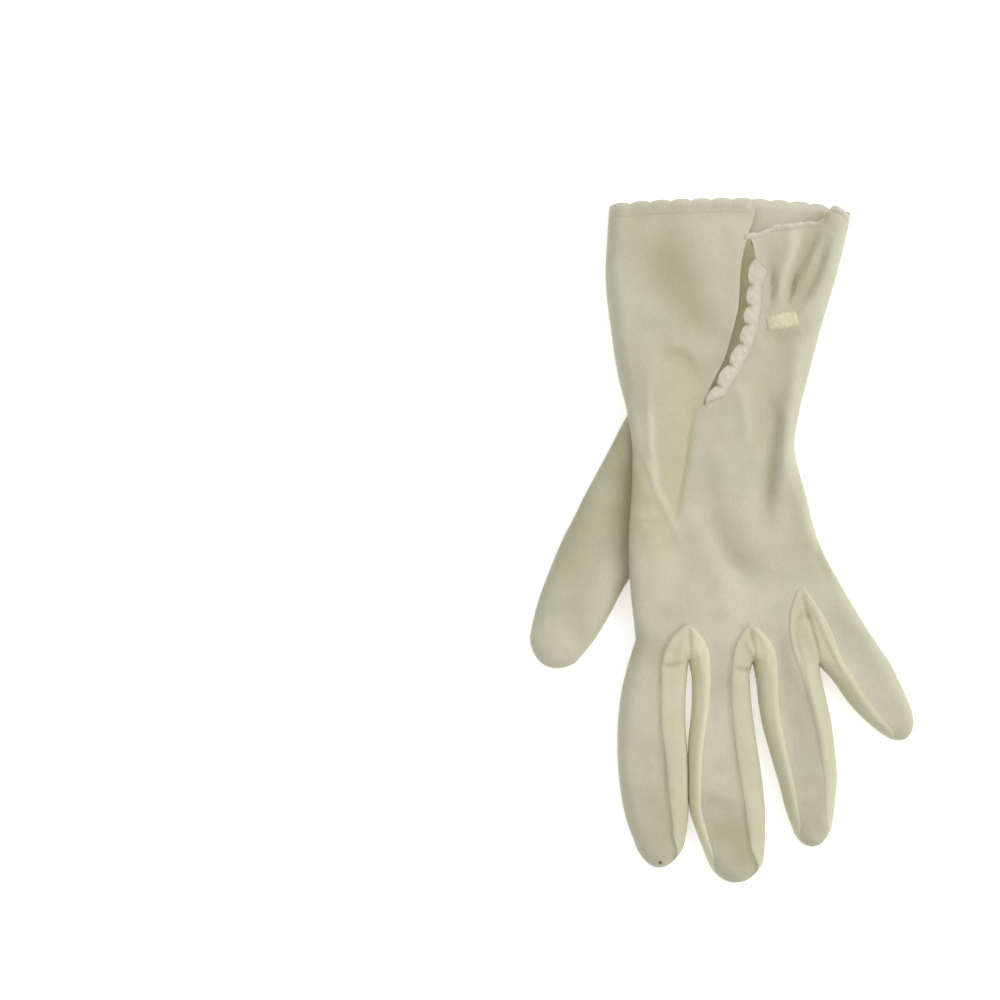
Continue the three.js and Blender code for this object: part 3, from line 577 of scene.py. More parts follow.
def gridSheet(name, columns, rows, pointAt):
    # pointAt takes shares across and down the sheet, and gives places in the glove's layout
    bpy.ops.object.select_all(action="DESELECT")
    bpy.ops.mesh.primitive_grid_add(x_subdivisions=columns, y_subdivisions=rows, size=1)
    sheet = bpy.context.object
    sheet.name = sheet.data.name = name
    shares = readPlaces(sheet)[:, :2] + 0.5
    placed = pointAt(shares[:, 0], shares[:, 1])
    placed[:, :2] += hemMiddle
    writePlaces(sheet, placed)
    return sheet


def joinSheets(name, sheets):
    bpy.ops.object.select_all(action="DESELECT")
    for sheet in sheets:
        sheet.select_set(True)
    bpy.context.view_layer.objects.active = sheets[0]
    bpy.ops.object.join()
    joined = bpy.context.object
    joined.name = joined.data.name = name
    return joined


def mergeDoubles(obj, distance=2e-6):
    selectOnly(obj)
    bpy.ops.object.mode_set(mode="EDIT")
    bpy.ops.mesh.select_all(action="SELECT")
    bpy.ops.mesh.remove_doubles(threshold=distance)
    bpy.ops.mesh.dissolve_degenerate(threshold=distance)
    bpy.ops.mesh.normals_make_consistent(inside=False)
    bpy.ops.object.mode_set(mode="OBJECT")


def addWall(obj, thickness):
    selectOnly(obj)
    bpy.ops.object.modifier_add(type="SOLIDIFY")
    wall = obj.modifiers[-1]
    wall.thickness = thickness
    wall.offset = -1
    bpy.ops.object.modifier_apply(modifier=wall.name)


def raiseBlock(obj, height):
    # A face or a sheet, extruded upwards into a closed block
    selectOnly(obj)
    bpy.ops.object.mode_set(mode="EDIT")
    bpy.ops.mesh.select_all(action="SELECT")
    bpy.ops.mesh.extrude_region_move(TRANSFORM_OT_translate={"value": (0, 0, height)})
    bpy.ops.mesh.select_all(action="SELECT")
    bpy.ops.mesh.normals_make_consistent(inside=False)
    bpy.ops.object.mode_set(mode="OBJECT")


def cutter(points, low, high):
    # An upright block over an outline, to cut cloth with
    mesh = bpy.data.meshes.new("cutter")
    around = points + hemMiddle
    mesh.from_pydata([(x, y, low) for x, y in around], [], [list(range(len(around)))])
    block = bpy.data.objects.new("cutter", mesh)
    bpy.context.collection.objects.link(block)
    raiseBlock(block, high - low)
    return block


def cutAway(obj, block):
    selectOnly(obj)
    bpy.ops.object.modifier_add(type="BOOLEAN")
    cut = obj.modifiers[-1]
    cut.operation = "DIFFERENCE"
    cut.solver = "MANIFOLD"
    cut.object = block
    bpy.ops.object.modifier_apply(modifier=cut.name)
    bpy.data.objects.remove(block)


def faceUp(obj):
    selectOnly(obj)
    up = sum(face.normal.z * face.area for face in obj.data.polygons)
    if up < 0:
        bpy.ops.object.mode_set(mode="EDIT")
        bpy.ops.mesh.select_all(action="SELECT")
        bpy.ops.mesh.flip_normals()
        bpy.ops.object.mode_set(mode="OBJECT")


def smoothShade(obj, angle=40):
    selectOnly(obj)
    bpy.ops.object.shade_smooth_by_angle(angle=math.radians(angle))


def finishPiece(obj, node, material):
    obj.data.materials.clear()
    obj.data.materials.append(material)
    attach(obj, "root")
    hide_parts(node)
    print(node, "made,", len(obj.data.polygons), "faces")


def setAttribute(obj, name, values):
    attribute = obj.data.attributes.get(name) or obj.data.attributes.new(name, "FLOAT", "POINT")
    attribute.data.foreach_set("value", values.astype(np.float32))


def layoutPoints(obj):
    points = readPlaces(obj)
    points[:, :2] -= hemMiddle
    return points


# Materials

class Signal:
    # One output in a material, on which sums and products add Math nodes
    def __init__(self, maker, socket):
        self.maker = maker
        self.socket = socket

    def math(self, operation, first, second):
        return self.maker.node("ShaderNodeMath", {"operation": operation}, {0: first, 1: second})

    def __add__(self, other):
        return self.math("ADD", self, other)

    __radd__ = __add__

    def __mul__(self, other):
        return self.math("MULTIPLY", self, other)

    __rmul__ = __mul__


class Cloth:
    def __init__(self, name, constants):
        self.material = bpy.data.materials.new(name)
        self.material.use_nodes = True
        self.tree = self.material.node_tree
        self.shader = self.tree.nodes["Principled BSDF"]
        for socket, value in constants.items():
            self.shader.inputs[socket].default_value = value

    def node(self, kind, settings=None, inputs=None, output=0):
        made = self.tree.nodes.new(kind)
        for key, value in (settings or {}).items():
            if key == "stops":
                self.setStops(made.color_ramp, value)
            else:
                setattr(made, key, value)
        for key, value in (inputs or {}).items():
            if isinstance(value, Signal):
                self.tree.links.new(value.socket, made.inputs[key])
            else:
                made.inputs[key].default_value = value
        return Signal(self, made.outputs[output])

    def setStops(self, ramp, stops):
        while len(ramp.elements) < len(stops):
            ramp.elements.new(0.5)
        for element, (position, shade) in zip(ramp.elements, stops):
            element.position = position
            element.color = (shade, shade, shade, 1)

    def coordinates(self, scale=(1, 1, 1)):
        objectPlace = self.node("ShaderNodeTexCoord", output="Object")
        return self.node("ShaderNodeMapping", {}, {"Vector": objectPlace, "Scale": scale})

    def noise(self, size, detail=2.0, stretch=(1, 1, 1)):
        return self.node("ShaderNodeTexNoise", {}, {
            "Vector": self.coordinates(stretch), "Scale": 1 / size, "Detail": detail})

    def attribute(self, name):
        return self.node("ShaderNodeAttribute", {"attribute_name": name}, output="Fac")

    def ramp(self, value, stops):
        return self.node("ShaderNodeValToRGB", {"stops": stops}, {"Fac": value})

    def mix(self, factor, first, second, blend="MIX"):
        return self.node(
            "ShaderNodeMix", {"data_type": "RGBA", "blend_type": blend},
            {"Factor": factor, 6: first, 7: second}, output=2)

    def near(self, spot, size):
        # 1 at a spot given as (across, down), fading to 0 at a distance of size
        x, y = place(*spot) + hemMiddle
        objectPlace = self.node("ShaderNodeTexCoord", output="Object")
        flat = self.node("ShaderNodeVectorMath", {"operation": "MULTIPLY"}, {0: objectPlace, 1: (1, 1, 0)})
        away = self.node("ShaderNodeVectorMath", {"operation": "DISTANCE"}, {0: flat, 1: (x, y, 0)}, "Value")
        return self.ramp(away * (1 / size), [(0.25, 1), (1.0, 0)])

    def bump(self, height, strength, distance):
        return self.node("ShaderNodeBump", {}, {"Height": height, "Strength": strength, "Distance": distance})

    def feed(self, **links):
        for name, signal in links.items():
            self.tree.links.new(signal.socket, self.shader.inputs[name.replace("_", " ")])
        return self.material


def colour(red, green, blue):
    # A colour as it looks on screen, 0 to 255, turned to the linear values that shaders use
    shares = [value / 255 for value in (red, green, blue)]
    return tuple(s / 12.92 if s <= 0.04045 else ((s + 0.055) / 1.055) ** 2.4 for s in shares) + (1,)


nylon = {
    "rosy": (206, 201, 178), "green": (201, 200, 176), "double": (193, 188, 152), "shaded": (166, 161, 124),
    "light": (222, 218, 194), "inner": (212, 206, 150), "alpha": 0.74,
    "patchSize": 0.032, "cloudSize": 0.009, "grainSize": 0.0007, "knitSize": 0.0005,
    "stain": (-0.291, 1.433), "stainSize": 0.0010, "stainColour": (112, 92, 60),
}


def sheerNylon():
    cloth = Cloth("sheerNylon", {"Roughness": 0.85, "Sheen Weight": 0.2, "Sheen Roughness": 0.4,
                                 "Specular IOR Level": 0.25})
    tone = cloth.attribute("tone")
    layers = cloth.attribute("layers")
    patches = cloth.ramp(cloth.noise(nylon["patchSize"], 1.5), [(0.36, 0), (0.64, 1)])
    ground = cloth.mix(patches, colour(*nylon["rosy"]), colour(*nylon["green"]))
    layered = cloth.mix(layers, ground, colour(*nylon["double"]))
    # A yellow tint, painted on the palm's inside face within the slit, gives the shaded gap its olive colour
    inner = cloth.mix(cloth.attribute("inner"), layered, colour(*nylon["inner"]))
    # Painted shade and painted highlight: darker and lighter colours mixed in along valleys, seams, ridges
    # and inside the slit
    shaded = cloth.mix(tone * 0.75, inner, colour(*nylon["shaded"]))
    light = cloth.mix(tone * -0.6, shaded, colour(*nylon["light"]))
    cloudy = cloth.ramp(cloth.noise(nylon["cloudSize"], 2.0), [(0.30, 0.90), (0.70, 1.0)])
    clouded = cloth.mix(0.6, light, cloudy, "MULTIPLY")
    grain = cloth.noise(nylon["grainSize"], 3.0, (1, 0.45, 1))
    speckled = cloth.mix(0.16, clouded, cloth.ramp(grain, [(0.30, 0.75), (0.70, 1.0)]), "MULTIPLY")
    spot = cloth.near(nylon["stain"], nylon["stainSize"])
    stained = cloth.mix(spot, speckled, colour(*nylon["stainColour"]))
    knit = cloth.noise(nylon["knitSize"], 2.0, (1, 0.35, 1))
    return cloth.feed(
        Base_Color=stained,
        Alpha=nylon["alpha"] + layers * 0.18 + grain * 0.08,
        Roughness=0.75 + grain * 0.2,
        Normal=cloth.bump(knit, 0.25, 0.0002),
    )


stripCloth = {
    "yellow": (205, 201, 174), "olive": (200, 196, 166), "seam": (211, 207, 180),
    "shaded": (166, 162, 124), "light": (232, 227, 194), "alpha": 0.80,
    "patchSize": 0.011, "grainSize": 0.0008,
}


def stripNylon():
    cloth = Cloth("sideStrip", {"Roughness": 0.8, "Sheen Weight": 0.2, "Sheen Roughness": 0.4,
                                "Specular IOR Level": 0.25})
    grain = cloth.noise(stripCloth["grainSize"], 3.0)
    patches = cloth.ramp(cloth.noise(stripCloth["patchSize"], 1.5), [(0.35, 0), (0.65, 1)])
    ground = cloth.mix(patches, colour(*stripCloth["yellow"]), colour(*stripCloth["olive"]))
    # A painted highlight along the raised welt beside each seam, then painted shade and painted highlight
    # mixed in
    seam = cloth.mix(cloth.attribute("seam") * 0.35, ground, colour(*stripCloth["seam"]))
    tone = cloth.attribute("tone")
    shaded = cloth.mix(tone, seam, colour(*stripCloth["shaded"]))
    light = cloth.mix(tone * -1.0, shaded, colour(*stripCloth["light"]))
    speckled = cloth.mix(0.12, light, cloth.ramp(grain, [(0.30, 0.75), (0.70, 1.0)]), "MULTIPLY")
    return cloth.feed(
        Base_Color=speckled,
        Alpha=stripCloth["alpha"] + grain * 0.1,
        Roughness=0.72 + grain * 0.2,
        Normal=cloth.bump(grain, 0.2, 0.0002),
    )


edgingCloth = {
    "hollow": (191, 188, 167), "crown": (197, 194, 173), "puffHighlight": (207, 204, 185),
    "shaded": (172, 167, 134), "alpha": 0.78, "fuzzSize": 0.0025, "grainSize": 0.0007, "stitchSize": 0.0006,
}


def edgingNylon():
    cloth = Cloth("scallopedEdging", {"Roughness": 0.78, "Sheen Weight": 0.25, "Sheen Roughness": 0.4,
                                      "Specular IOR Level": 0.3})
    grain = cloth.noise(edgingCloth["grainSize"], 3.0)
    fuzz = cloth.noise(edgingCloth["fuzzSize"], 2.0)
    ground = cloth.mix(fuzz, colour(*edgingCloth["hollow"]), colour(*edgingCloth["crown"]))
    # Painted highlight: lighter towards the scalloped edge, where the lobes puff up; painted shade follows
    puffHighlight = cloth.mix(cloth.attribute("puff"), ground, colour(*edgingCloth["puffHighlight"]))
    shaded = cloth.mix(cloth.attribute("tone"), puffHighlight, colour(*edgingCloth["shaded"]))
    speckled = cloth.mix(0.14, shaded, cloth.ramp(grain, [(0.30, 0.72), (0.70, 1.0)]), "MULTIPLY")
    stitches = cloth.noise(edgingCloth["stitchSize"], 1.0)
    return cloth.feed(
        Base_Color=speckled,
        Alpha=edgingCloth["alpha"] + grain * 0.14,
        Roughness=0.70 + grain * 0.2,
        Normal=cloth.bump(stitches, 0.35, 0.0003),
    )


def shirredElastic():
    cloth = Cloth("elastic", {"Roughness": 0.7, "Sheen Weight": 0.4, "Sheen Roughness": 0.35,
                              "Specular IOR Level": 0.35})
    grain = cloth.noise(elastic["grainSize"], 3.0)
    speckled = cloth.ramp(grain, [(0.35, 0), (0.65, 1)])
    ground = cloth.mix(speckled, colour(*elastic["dark"]), colour(*elastic["bright"]))
    return cloth.feed(
        Base_Color=ground,
        Roughness=0.6 + grain * 0.3,
        Normal=cloth.bump(grain, 0.5, 0.0003),
    )


finishes = {
    "sheer_nylon": sheerNylon(), "side_strip": stripNylon(),
    "scalloped_edging": edgingNylon(), "elastic": shirredElastic(),
}
print("materials made")


# Side strips: rails of the seam on the back and of the finger's edge

def stripWidth(widths, along, overlap):
    rows = [(at, width - overlap) for at, width in zip(strip["stations"], widths)]
    rows.append((strip["end"], 0.0))
    return np.maximum(tableValue(rows, 1, along), 0.0)


def archCurve(shoulder, apex, bow, count):
    control = np.array([shoulder[0] + bow, shoulder[1] + (apex[1] - shoulder[1]) * strip["archRise"]])
    t = np.linspace(0, 1, count)[:, None]
    return shoulder * (1 - t) ** 2 + 2 * control * t * (1 - t) + apex * t**2


def stripRails(spec, overlap=0.0):
    first = strip["stations"][0]
    along = np.linspace(strip["end"], first, strip["legRows"])
    rootward = np.linspace(first, 0, strip["archRows"])
    legs, edges, shoulders = [], [], []
    for name, widths, onRight in zip(spec["fingers"], (spec["left"], spec["right"]), (True, False)):
        _, _, sideways = fingerAxis(name)
        inward = -sideways if onRight else sideways
        edge = fingerEdge(name, along, onRight)
        legs.append(edge + inward * stripWidth(widths, along, overlap)[:, None])
        edges.append((edge, fingerEdge(name, rootward, onRight)))
        shoulders.append(legs[-1][-1])
    apex = place(*spec["apex"]) - np.array([0, overlap])
    arches = [
        archCurve(shoulder, apex, bow, strip["archRows"]) for shoulder, bow in zip(shoulders, spec["bows"])]
    seam = np.vstack([legs[0][:-1], arches[0], arches[1][::-1][1:], legs[1][::-1][1:]])
    for _ in range(strip["smoothings"]):
        seam[1:-1] = (seam[:-2] + 2 * seam[1:-1] + seam[2:]) / 4
    edge = np.vstack([edges[0][0][:-1], edges[0][1], edges[1][1][::-1][1:], edges[1][0][::-1][1:]])
    return seam, edge


def makeSideStrip(node, spec):
    seam, edge = stripRails(spec)
    count = len(seam) - 1

    def sheet(onBack):
        def pointAt(u, v):
            i = np.rint(u * count).astype(int)
            points = seam[i] + (edge[i] - seam[i]) * (v ** strip["acrossPower"])[:, None]
            onRim = v > 1 - 1e-6
            height = (backHeight if onBack else palmHeight)(points, onRim)
            fromSeam = np.linalg.norm(points - seam[i], axis=1)
            toRim = np.linalg.norm(points - edge[i], axis=1)
            welt = strip["welt"] * falloff(fromSeam - strip["weltAt"], strip["weltWidth"])
            tucked = strip["tuck"] * (1 - smoothstep(0, 0.0005, fromSeam))
            raised = strip["lift"] * smoothstep(0, 0.001, fromSeam) - tucked
            extra = (welt + raised + ridges(points, creases)) * smoothstep(0, 0.0015, toRim)
            height += extra if onBack else -extra * strip["palmShare"]
            height = height if onBack else np.maximum(height, 0.00005)
            return np.column_stack([points, height])
        return pointAt

    piece = joinSheets(node, [
        gridSheet(node + "_back", count, strip["columns"], sheet(True)),
        gridSheet(node + "_palm", count, strip["columns"], sheet(False))])
    mergeDoubles(piece)
    addWall(piece, strip["wall"])
    points = layoutPoints(piece)
    flat = points[:, :2]
    nearSeam = pathDistance(flat, seam)
    nearLeft = pathDistance(flat, seam[:len(seam) // 2])
    nearRight = pathDistance(flat, seam[len(seam) // 2:])
    # Painted light and shade on the strip: shade in the creases' valleys, a shadow line along the left seam,
    # lighter paint on the right leg
    creaseShade = sum(-rise / 0.0005 * ridge(flat, path, width) for path, width, rise in creases if rise < 0)
    setAttribute(piece, "seam", falloff(nearSeam - 0.0012, 0.0010))
    dark = max(spec["paintedShadings"][0], 0) * falloff(nearLeft, 0.0005)
    lighter = spec["paintedShadings"][2] * smoothstep(-0.002, 0.004, nearLeft - nearRight)
    setAttribute(piece, "tone", np.clip(0.35 * creaseShade + dark + lighter, -1, 1))
    smoothShade(piece, 60)
    finishPiece(piece, node, finishes["side_strip"])


# The slit: the flap's scalloped edge, and the hole that it leaves

def scallopRails(count):
    # The scalloped edge, and how far each of its points is through its lobe
    joints = placeAll(slit["joints"])
    steps = count // len(slit["bulges"])
    out, phase = [], []
    for a, b, bulge in zip(joints[:-1], joints[1:], slit["bulges"]):
        t = np.linspace(0, 1, steps)[:, None]
        outward = np.array([b[1] - a[1], a[0] - b[0]]) / np.linalg.norm(b - a)
        out.append(a + (b - a) * t + outward * bulge * np.sin(np.pi * t) ** slit["lobeRound"])
        phase.append(t[:, 0])
    return np.vstack(out), np.concatenate(phase)


def slitSeam(count, overlap=0.0):
    line = smoothPath(placeAll(slit["joints"]), count)
    along = np.gradient(line, axis=0)
    normal = np.column_stack([-along[:, 1], along[:, 0]])
    normal /= np.linalg.norm(normal, axis=1)[:, None]
    at = np.linspace(0, 1, count)
    full = smoothstep(0, slit["leafShare"], at) * (1 - smoothstep(slit["taperFrom"], 1, at))
    leaf = slit["leafBulge"] * falloff(at - slit["leafShare"], slit["leafWidth"]) * full
    return line + normal * (slit["seam"] * full + leaf + slit["leastSeam"] - overlap)[:, None]


def slitHole():
    corner = smoothPath(placeAll(slit["corner"]), 30)
    return np.vstack([plainLine, slitSeam(80, slit["overlap"])[::-1], corner[::-1][1:]])


def makeSlitEdging():
    out, phase = scallopRails(slit["rows"])
    seam = slitSeam(len(out))
    count = len(out) - 1

    def pointAt(u, v):
        i = np.rint(u * count).astype(int)
        points = out[i] + (seam[i] - out[i]) * v[:, None]
        lobe = 1 - slit["valley"] * (1 - np.sin(np.pi * phase[i])) ** 2
        shape = np.sin(np.pi * np.clip(v * 1.1 + 0.04, 0, 1)) ** 0.7
        ripple = np.sin(4.3 * np.pi * phase[i] + 9 * i / count)
        dimple = slit["dimple"] * ripple * np.sin(2.6 * np.pi * v + 5 * i / count)
        welt = slit["welt"] * falloff(v - slit["weltAt"], slit["weltWidth"])
        tuck = slit["tuck"] * smoothstep(0.80, 1.0, v)
        height = backHeight(points) + slit["lift"] + slit["puff"] * lobe * shape * (1 + dimple) + welt - tuck
        return np.column_stack([points, height])

    piece = gridSheet("slit_edging", count, slit["columns"], pointAt)
    mergeDoubles(piece)
    faceUp(piece)
    addWall(piece, slit["wall"])
    flat = layoutPoints(piece)[:, :2]
    fromSeam = pathDistance(flat, seam)
    fromJoint = np.min([np.hypot(*(flat - joint).T) for joint in placeAll(slit["joints"])], axis=0)
    # Painted highlight on the lobes away from the seam, and painted shade in the notches between lobes
    setAttribute(piece, "puff", smoothstep(0.0004, 0.0026, fromSeam))
    setAttribute(piece, "tone", 0.8 * falloff(fromJoint, slit["jointWidth"]))
    smoothShade(piece, 60)
    finishPiece(piece, "slit_edging", finishes["scalloped_edging"])


# The scalloped edging round the cuff

def hemLine(share, below, onFlap):
    line = hemHeight(share) - edging["scallop"] - below
    if onFlap:
        line = line - tableValue(edging["flapDrop"], 1, share - 0.5)
    return line


def palmBand(share):
    # Under the flap the palm's edging reaches down behind the flap's own hem
    deeper = tableValue(edging["flapDrop"], 1, share - 0.5) + edging["flapBand"] + edging["palmDeeper"]
    return edging["band"] + np.maximum(deeper - edging["band"], 0) * between(*edging["deepened"], share)


def alongHem(share, below, onFlap):
    within = np.clip(share, 0, 1)
    line = acrossHand(within, hemLine(within, below, onFlap))
    line[:, 0] += (share - within) * hand["cuffWidth"]
    return line


def hemCutter(shares, band, low, high):
    around = alongHem(shares, band - edging["overlap"], False)
    far = cuts["pastHem"]
    return cutter(np.vstack([around, [[around[-1, 0], far], [around[0, 0], far]]]), low, high)


def flapCutter(low, high):
    plain = smoothPath(placeAll(slit["plainEdge"]), 120)
    plain = plain[plain[:, 1] > -slit["flapTop"] * hand["length"]]
    share = np.linspace(plain[-1, 0] / hand["cuffWidth"] + 0.5, cuts["ends"][1], 160)
    hem = alongHem(share, edging["flapBand"] - edging["overlap"], True)
    far = cuts["pastHem"]
    return cutter(np.vstack([[[plain[0, 0], far]], plain, hem, [[hem[-1, 0], far]]]), low, high)


def makeCuffEdging():
    flapFrom = 0.5 + slit["corner"][2][0] + 0.002
    plainTo = 0.5 + slit["plainEdge"][1][0] - 0.001

    def sheet(onBack, onFlap, fromShare, toShare):
        band = edging["flapBand"] if onFlap else edging["band"]
        count = edging["flapCount"] if onFlap else edging["count"]
        scallop = edging["flapScallop"] if onFlap else edging["scallop"]

        def pointAt(u, v):
            share = fromShare + (toShare - fromShare) * crowded(u, edging["crowding"])
            lobe = np.abs(np.sin(np.pi * share * count)) ** 0.5
            top = hemLine(share, 0, onFlap) + scallop * lobe
            if not onBack:
                top = top + edging["palmRise"] * between(*edging["risen"], share)
            bottom = hemLine(share, band if onBack else palmBand(share), onFlap)
            points = acrossHand(share, top + (bottom - top) * v)
            if not onBack:
                return np.column_stack([points, palmHeight(points, atEnds(share))])
            inward = smoothstep(0, edging["sideFade"], share) * smoothstep(0, edging["sideFade"], 1 - share)
            puff = edging["puff"] * lobe * np.sin(np.pi * np.clip(v * 1.3, 0, 1)) ** 0.7
            welt = edging["welt"] * falloff(v - edging["weltAt"], edging["weltWidth"])
            tuck = edging["tuck"] * smoothstep(edging["weltAt"], 1, v)
            raised = (edging["lift"] + puff + welt - tuck) * inward
            return np.column_stack([points, backHeight(points, atEnds(share)) + raised])
        return pointAt

    piece = joinSheets("cuff_edging", [
        gridSheet("plainSide", edging["columns"] // 2, edging["rows"], sheet(True, False, 0.0, plainTo)),
        gridSheet("flapSide", edging["columns"] // 2, edging["rows"], sheet(True, True, flapFrom, 1.0)),
        gridSheet("palmSide", edging["columns"], edging["rows"], sheet(False, False, 0.0, 1.0))])
    mergeDoubles(piece)
    addWall(piece, edging["wall"])
    points = layoutPoints(piece)
    flat, height = points[:, :2], points[:, 2]
    share = flat[:, 0] / hand["cuffWidth"] + 0.5
    below = hemLine(np.clip(share, 0, 1), 0, False) - flat[:, 1]
    onFlap = (share > 0.56) & (height > 0.005)
    drop = tableValue(edging["flapDrop"], 1, share - 0.5) * onFlap
    # Painted highlight along the scalloped top of the band; painted shade inside the slit and from the back's
    # list
    setAttribute(piece, "puff", 0.8 * (1 - smoothstep(-0.0008, 0.0022, below - drop)))
    seenInSlit = insideSlit(flat) * (height < 0.004)
    setAttribute(piece, "tone", np.clip(ridges(flat, paintedShadings) + 1.1 * seenInSlit, 0, 1))
    smoothShade(piece, 60)
    finishPiece(piece, "cuff_edging", finishes["scalloped_edging"])


# The hand: back and palm with the four fingers

def sheetHeight(onBack, atPoint, lowered=0.0):
    def pointAt(u, v):
        points, onRim = atPoint(u, v)
        height = (backHeight if onBack else palmHeight)(points, onRim)
        return np.column_stack([points, height - lowered])
    return pointAt


def overHand(u, v):
    crotch = (v > 1 - 1e-6) & (np.abs(u * 4 - np.rint(u * 4)) < 1e-6)
    return handPoint(u, v), atEnds(u) | crotch


def overFinger(name):
    def atPoint(u, v):
        share = crowded(u, hand["crowding"])
        return fingerPoint(name, fingerAlong(v), share), atEnds(u) | (v > 1 - 1e-6)
    return atPoint


def handSheets(onBack, lowered=0.0):
    columns = hand["columnsPerFinger"]
    sheets = [gridSheet("hand", columns * len(fingers), hand["rows"], sheetHeight(onBack, overHand, lowered))]
    for name in fingers:
        sheets.append(gridSheet(
            name, columns, fingerSheet["rows"], sheetHeight(onBack, overFinger(name), lowered)))
    return sheets


def makeHand():
    piece = joinSheets("hand", handSheets(True) + handSheets(False))
    mergeDoubles(piece)
    addWall(piece, hand["wall"])
    split = hand["rimShare"] * hand["rise"]
    for spec in sideStrips.values():
        seam, _ = stripRails(spec, strip["overlap"])
        cutAway(piece, cutter(seam, cuts["below"], cuts["above"]))
    cutAway(piece, cutter(slitHole(), split, cuts["above"]))
    allRound = np.linspace(*cuts["ends"], 240)
    cutAway(piece, hemCutter(allRound, palmBand(np.clip(allRound, 0, 1)), cuts["below"], split))
    plainSide = np.linspace(cuts["ends"][0], 0.5 + slit["plainEdge"][1][0] + 0.02, 160)
    cutAway(piece, hemCutter(plainSide, edging["band"], split - 1e-5, cuts["above"]))
    cutAway(piece, flapCutter(split, cuts["above"] + 0.001))
    smoothShade(piece)
    points = layoutPoints(piece)
    flat = points[:, :2]
    layers = 0.0
    for area, share in layeredAreas:
        layers = np.maximum(layers, share * smoothstep(-0.0016, 0.0018, depthInside(flat, placeAll(area))))
    onBack = smoothstep(split - 0.001, split + 0.001, points[:, 2])
    setAttribute(piece, "layers", layers * onBack)
    # Painted shade and painted highlight on the back; on the palm inside the slit a painted shadow beside the
    # plain edge
    tone = np.clip(ridges(flat, paintedShadings) + seamShading(flat), -1, 1)
    shade = falloff(pathDistance(flat, plainLine), slit["shadeWidth"])
    # The palm's inside face within the slit, tinted as painted colour of the shaded gap
    inner = insideSlit(flat) * (1 - onBack)
    setAttribute(piece, "tone", tone * onBack + 0.9 * shade * inner)
    setAttribute(piece, "inner", inner)
    finishPiece(piece, "hand", finishes["sheer_nylon"])


def seamShading(points):
    # Painted shadow or painted highlight lines along the strips' seams, by each strip's amounts: mostly
    # shadow on the left seams and highlight on the right ones
    tone = 0.0
    for spec in sideStrips.values():
        seam, _ = stripRails(spec)
        middle = len(seam) // 2
        for line, amount, spread in zip((seam[:middle], seam[middle:]), spec["paintedShadings"], (1, 1.8)):
            tone += amount * falloff(pathDistance(points, line), strip["paintedShadingWidth"] * spread)
    return tone


def insideSlit(points):
    opening = smoothstep(-0.003, 0.0005, depthInside(points, slitHole()))
    return opening * smoothstep(-0.002, 0.004, -points[:, 1])


# Thumb

def makeThumb():
    axis = limbAxis(place(*thumb["start"]), thumb["turn"])

    def thumbPoint(u, v):
        return limbPoint(axis, thumb, fingerAlong(v), crowded(u, thumb["crowding"]), thumb["capStart"])

    side = np.linspace(0, 1, thumb["rows"] + 1)
    edges = np.vstack([thumbPoint(np.zeros_like(side), side), thumbPoint(np.ones_like(side), side)[::-1]])

    def sheet(onBack):
        def pointAt(u, v):
            points = thumbPoint(u, v)
            distance = np.where(atEnds(u) | (v > 1 - 1e-6), 0, pathDistance(points, edges))
            rim = hand["rimShare"] * thumb["rise"]
            if onBack:
                rounding = quarterRound(distance, thumb["edgeRound"])
                fold = ridges(points, thumb["folds"])
                height = rim + (thumb["rise"] - rim + fold * rounding) * rounding
            else:
                height = rim - rim * quarterRound(distance, hand["underRound"])
            return np.column_stack([points, height])
        return pointAt

    piece = joinSheets("thumb", [
        gridSheet("thumbBack", thumb["columns"], thumb["rows"], sheet(True)),
        gridSheet("thumbPalm", thumb["columns"], thumb["rows"], sheet(False))])
    mergeDoubles(piece)
    addWall(piece, hand["wall"])
    # What would stand in the hand is cut off under the palm
    palm = joinSheets("palm", handSheets(False, thumb["clearance"]))
    mergeDoubles(palm)
    raiseBlock(palm, cuts["above"])
    cutAway(piece, palm)
    smoothShade(piece, 60)
    points = layoutPoints(piece)
    for name in ("layers", "inner"):
        setAttribute(piece, name, np.zeros(len(points)))
    # Painted shade and painted highlight on the thumb, with the hand's painted shadow
    setAttribute(piece, "tone", np.clip(ridges(points[:, :2], thumb["paintedShadings"]), -1, 1))
    finishPiece(piece, "thumb", finishes["sheer_nylon"])


# Elastic: a short gathered bar sewn across the flap

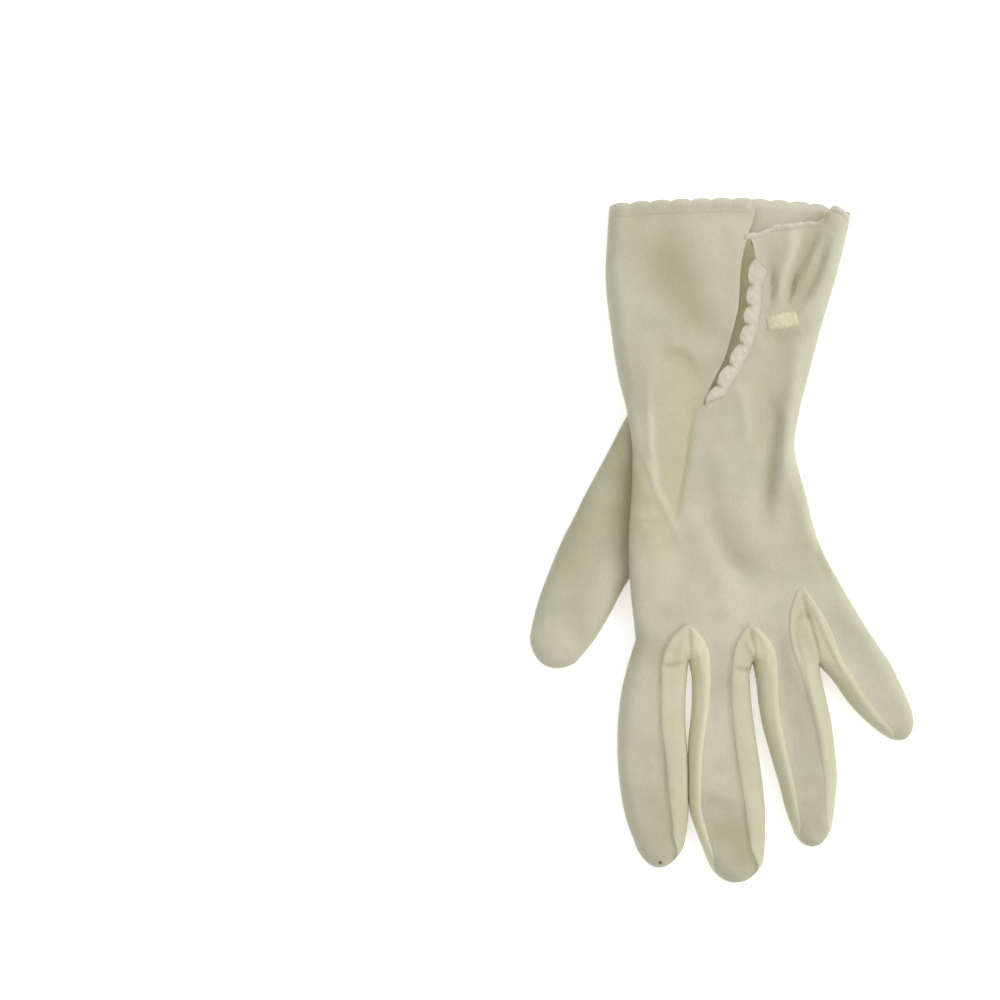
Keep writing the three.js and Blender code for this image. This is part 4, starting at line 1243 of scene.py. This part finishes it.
def makeElastic():
    middle = place(*elastic["middle"])
    turn = math.radians(elastic["turn"])
    bpy.ops.object.select_all(action="DESELECT")
    bpy.ops.mesh.primitive_cube_add(size=1)
    bar = bpy.context.object
    bar.name = bar.data.name = "elastic_bar"
    bpy.ops.object.mode_set(mode="EDIT")
    bpy.ops.mesh.select_all(action="SELECT")
    bpy.ops.mesh.subdivide(number_cuts=elastic["cuts"])
    bpy.ops.object.mode_set(mode="OBJECT")
    unit = readPlaces(bar)
    ribs = np.abs(np.sin(np.pi * elastic["ribs"] * (unit[:, 0] + 0.5)))
    edge = (1 - np.abs(2 * unit[:, 1]) ** 4) * (1 - np.abs(2 * unit[:, 0]) ** 10)
    wobble = 1 + 0.07 * np.sin(9 * unit[:, 0] + 1.3) + 0.03 * np.sin(31 * unit[:, 0])
    along = unit[:, 0] * elastic["length"] * (1 - 0.10 * np.abs(2 * unit[:, 1]) ** 6)
    across = unit[:, 1] * elastic["width"] * wobble
    points = np.column_stack([
        middle[0] + along * math.cos(turn) - across * math.sin(turn),
        middle[1] + along * math.sin(turn) + across * math.cos(turn)])
    above = elastic["thick"] * (0.15 + 0.85 * edge) + elastic["ribHeight"] * ribs * edge
    thickness = np.where(unit[:, 2] > 0, above, -elastic["sunk"]) * np.abs(2 * unit[:, 2])
    writePlaces(bar, np.column_stack([points + hemMiddle, backHeight(points) + thickness]))
    selectOnly(bar)
    bpy.ops.object.modifier_add(type="SUBSURF")
    soft = bar.modifiers[-1]
    soft.levels = soft.render_levels = 1
    bpy.ops.object.modifier_apply(modifier=soft.name)
    bpy.ops.object.shade_smooth()
    finishPiece(bar, "elastic_bar", finishes["elastic"])


makeHand()
makeThumb()
for node, spec in sideStrips.items():
    makeSideStrip(node, spec)
makeCuffEdging()
makeSlitEdging()
makeElastic()

# The photo's framing: pixels from its corner, metres to a pixel on the cloth, and the heights of
# the camera and of the cloth that it is aimed at
cameraView = {
    "middle": (500, 500), "hem": (730.8, 205), "pixel": 0.0003535,
    "height": 0.95, "cloth": 0.005, "sensor": 36.0,
}
studio = {
    "sky": 0.76, "floorGlow": 0.40, "key": 12.5, "keySize": 0.9, "keyPlace": (0.9, 0.5, 1.0),
}


def addCamera():
    half = cameraView["middle"][0] * cameraView["pixel"]
    data = bpy.data.cameras.new("camera")
    data.sensor_width = cameraView["sensor"]
    data.lens = cameraView["sensor"] / 2 * (cameraView["height"] - cameraView["cloth"]) / half
    camera = bpy.data.objects.new("camera", data)
    bpy.context.collection.objects.link(camera)
    x = hemMiddle[0] + (cameraView["middle"][0] - cameraView["hem"][0]) * cameraView["pixel"]
    y = hemMiddle[1] - (cameraView["middle"][1] - cameraView["hem"][1]) * cameraView["pixel"]
    camera.location = (x, y, cameraView["height"])
    bpy.context.scene.camera = camera


def addFloor():
    bpy.ops.object.select_all(action="DESELECT")
    bpy.ops.mesh.primitive_plane_add(size=6, location=(0, 0, 0))
    floor = bpy.context.object
    floor.name = "floor"
    surface = Cloth("floorPaper", {
        "Roughness": 0.9, "Emission Color": (1, 1, 1, 1), "Emission Strength": studio["floorGlow"]})
    grain = surface.noise(0.02)
    surface.feed(Base_Color=surface.mix(grain, (0.92, 0.92, 0.92, 1), (0.94, 0.94, 0.94, 1)))
    floor.data.materials.append(surface.material)


def addLight(name, energy, size, location, aim):
    data = bpy.data.lights.new(name, "AREA")
    data.energy = energy
    data.size = size
    lamp = bpy.data.objects.new(name, data)
    bpy.context.collection.objects.link(lamp)
    lamp.location = location
    lamp.rotation_euler = (Vector(aim) - Vector(location)).to_track_quat("-Z", "Y").to_euler()


def addSky():
    world = bpy.data.worlds.new("studio")
    bpy.context.scene.world = world
    world.use_nodes = True
    sky = world.node_tree.nodes["Background"]
    sky.inputs["Color"].default_value = (1, 1, 1, 1)
    sky.inputs["Strength"].default_value = studio["sky"]


addSky()
addLight("key", studio["key"], studio["keySize"], studio["keyPlace"], (0, 0, 0))
addFloor()
addCamera()
bpy.context.scene.view_settings.view_transform = "Standard"
print("camera, floor and light placed")
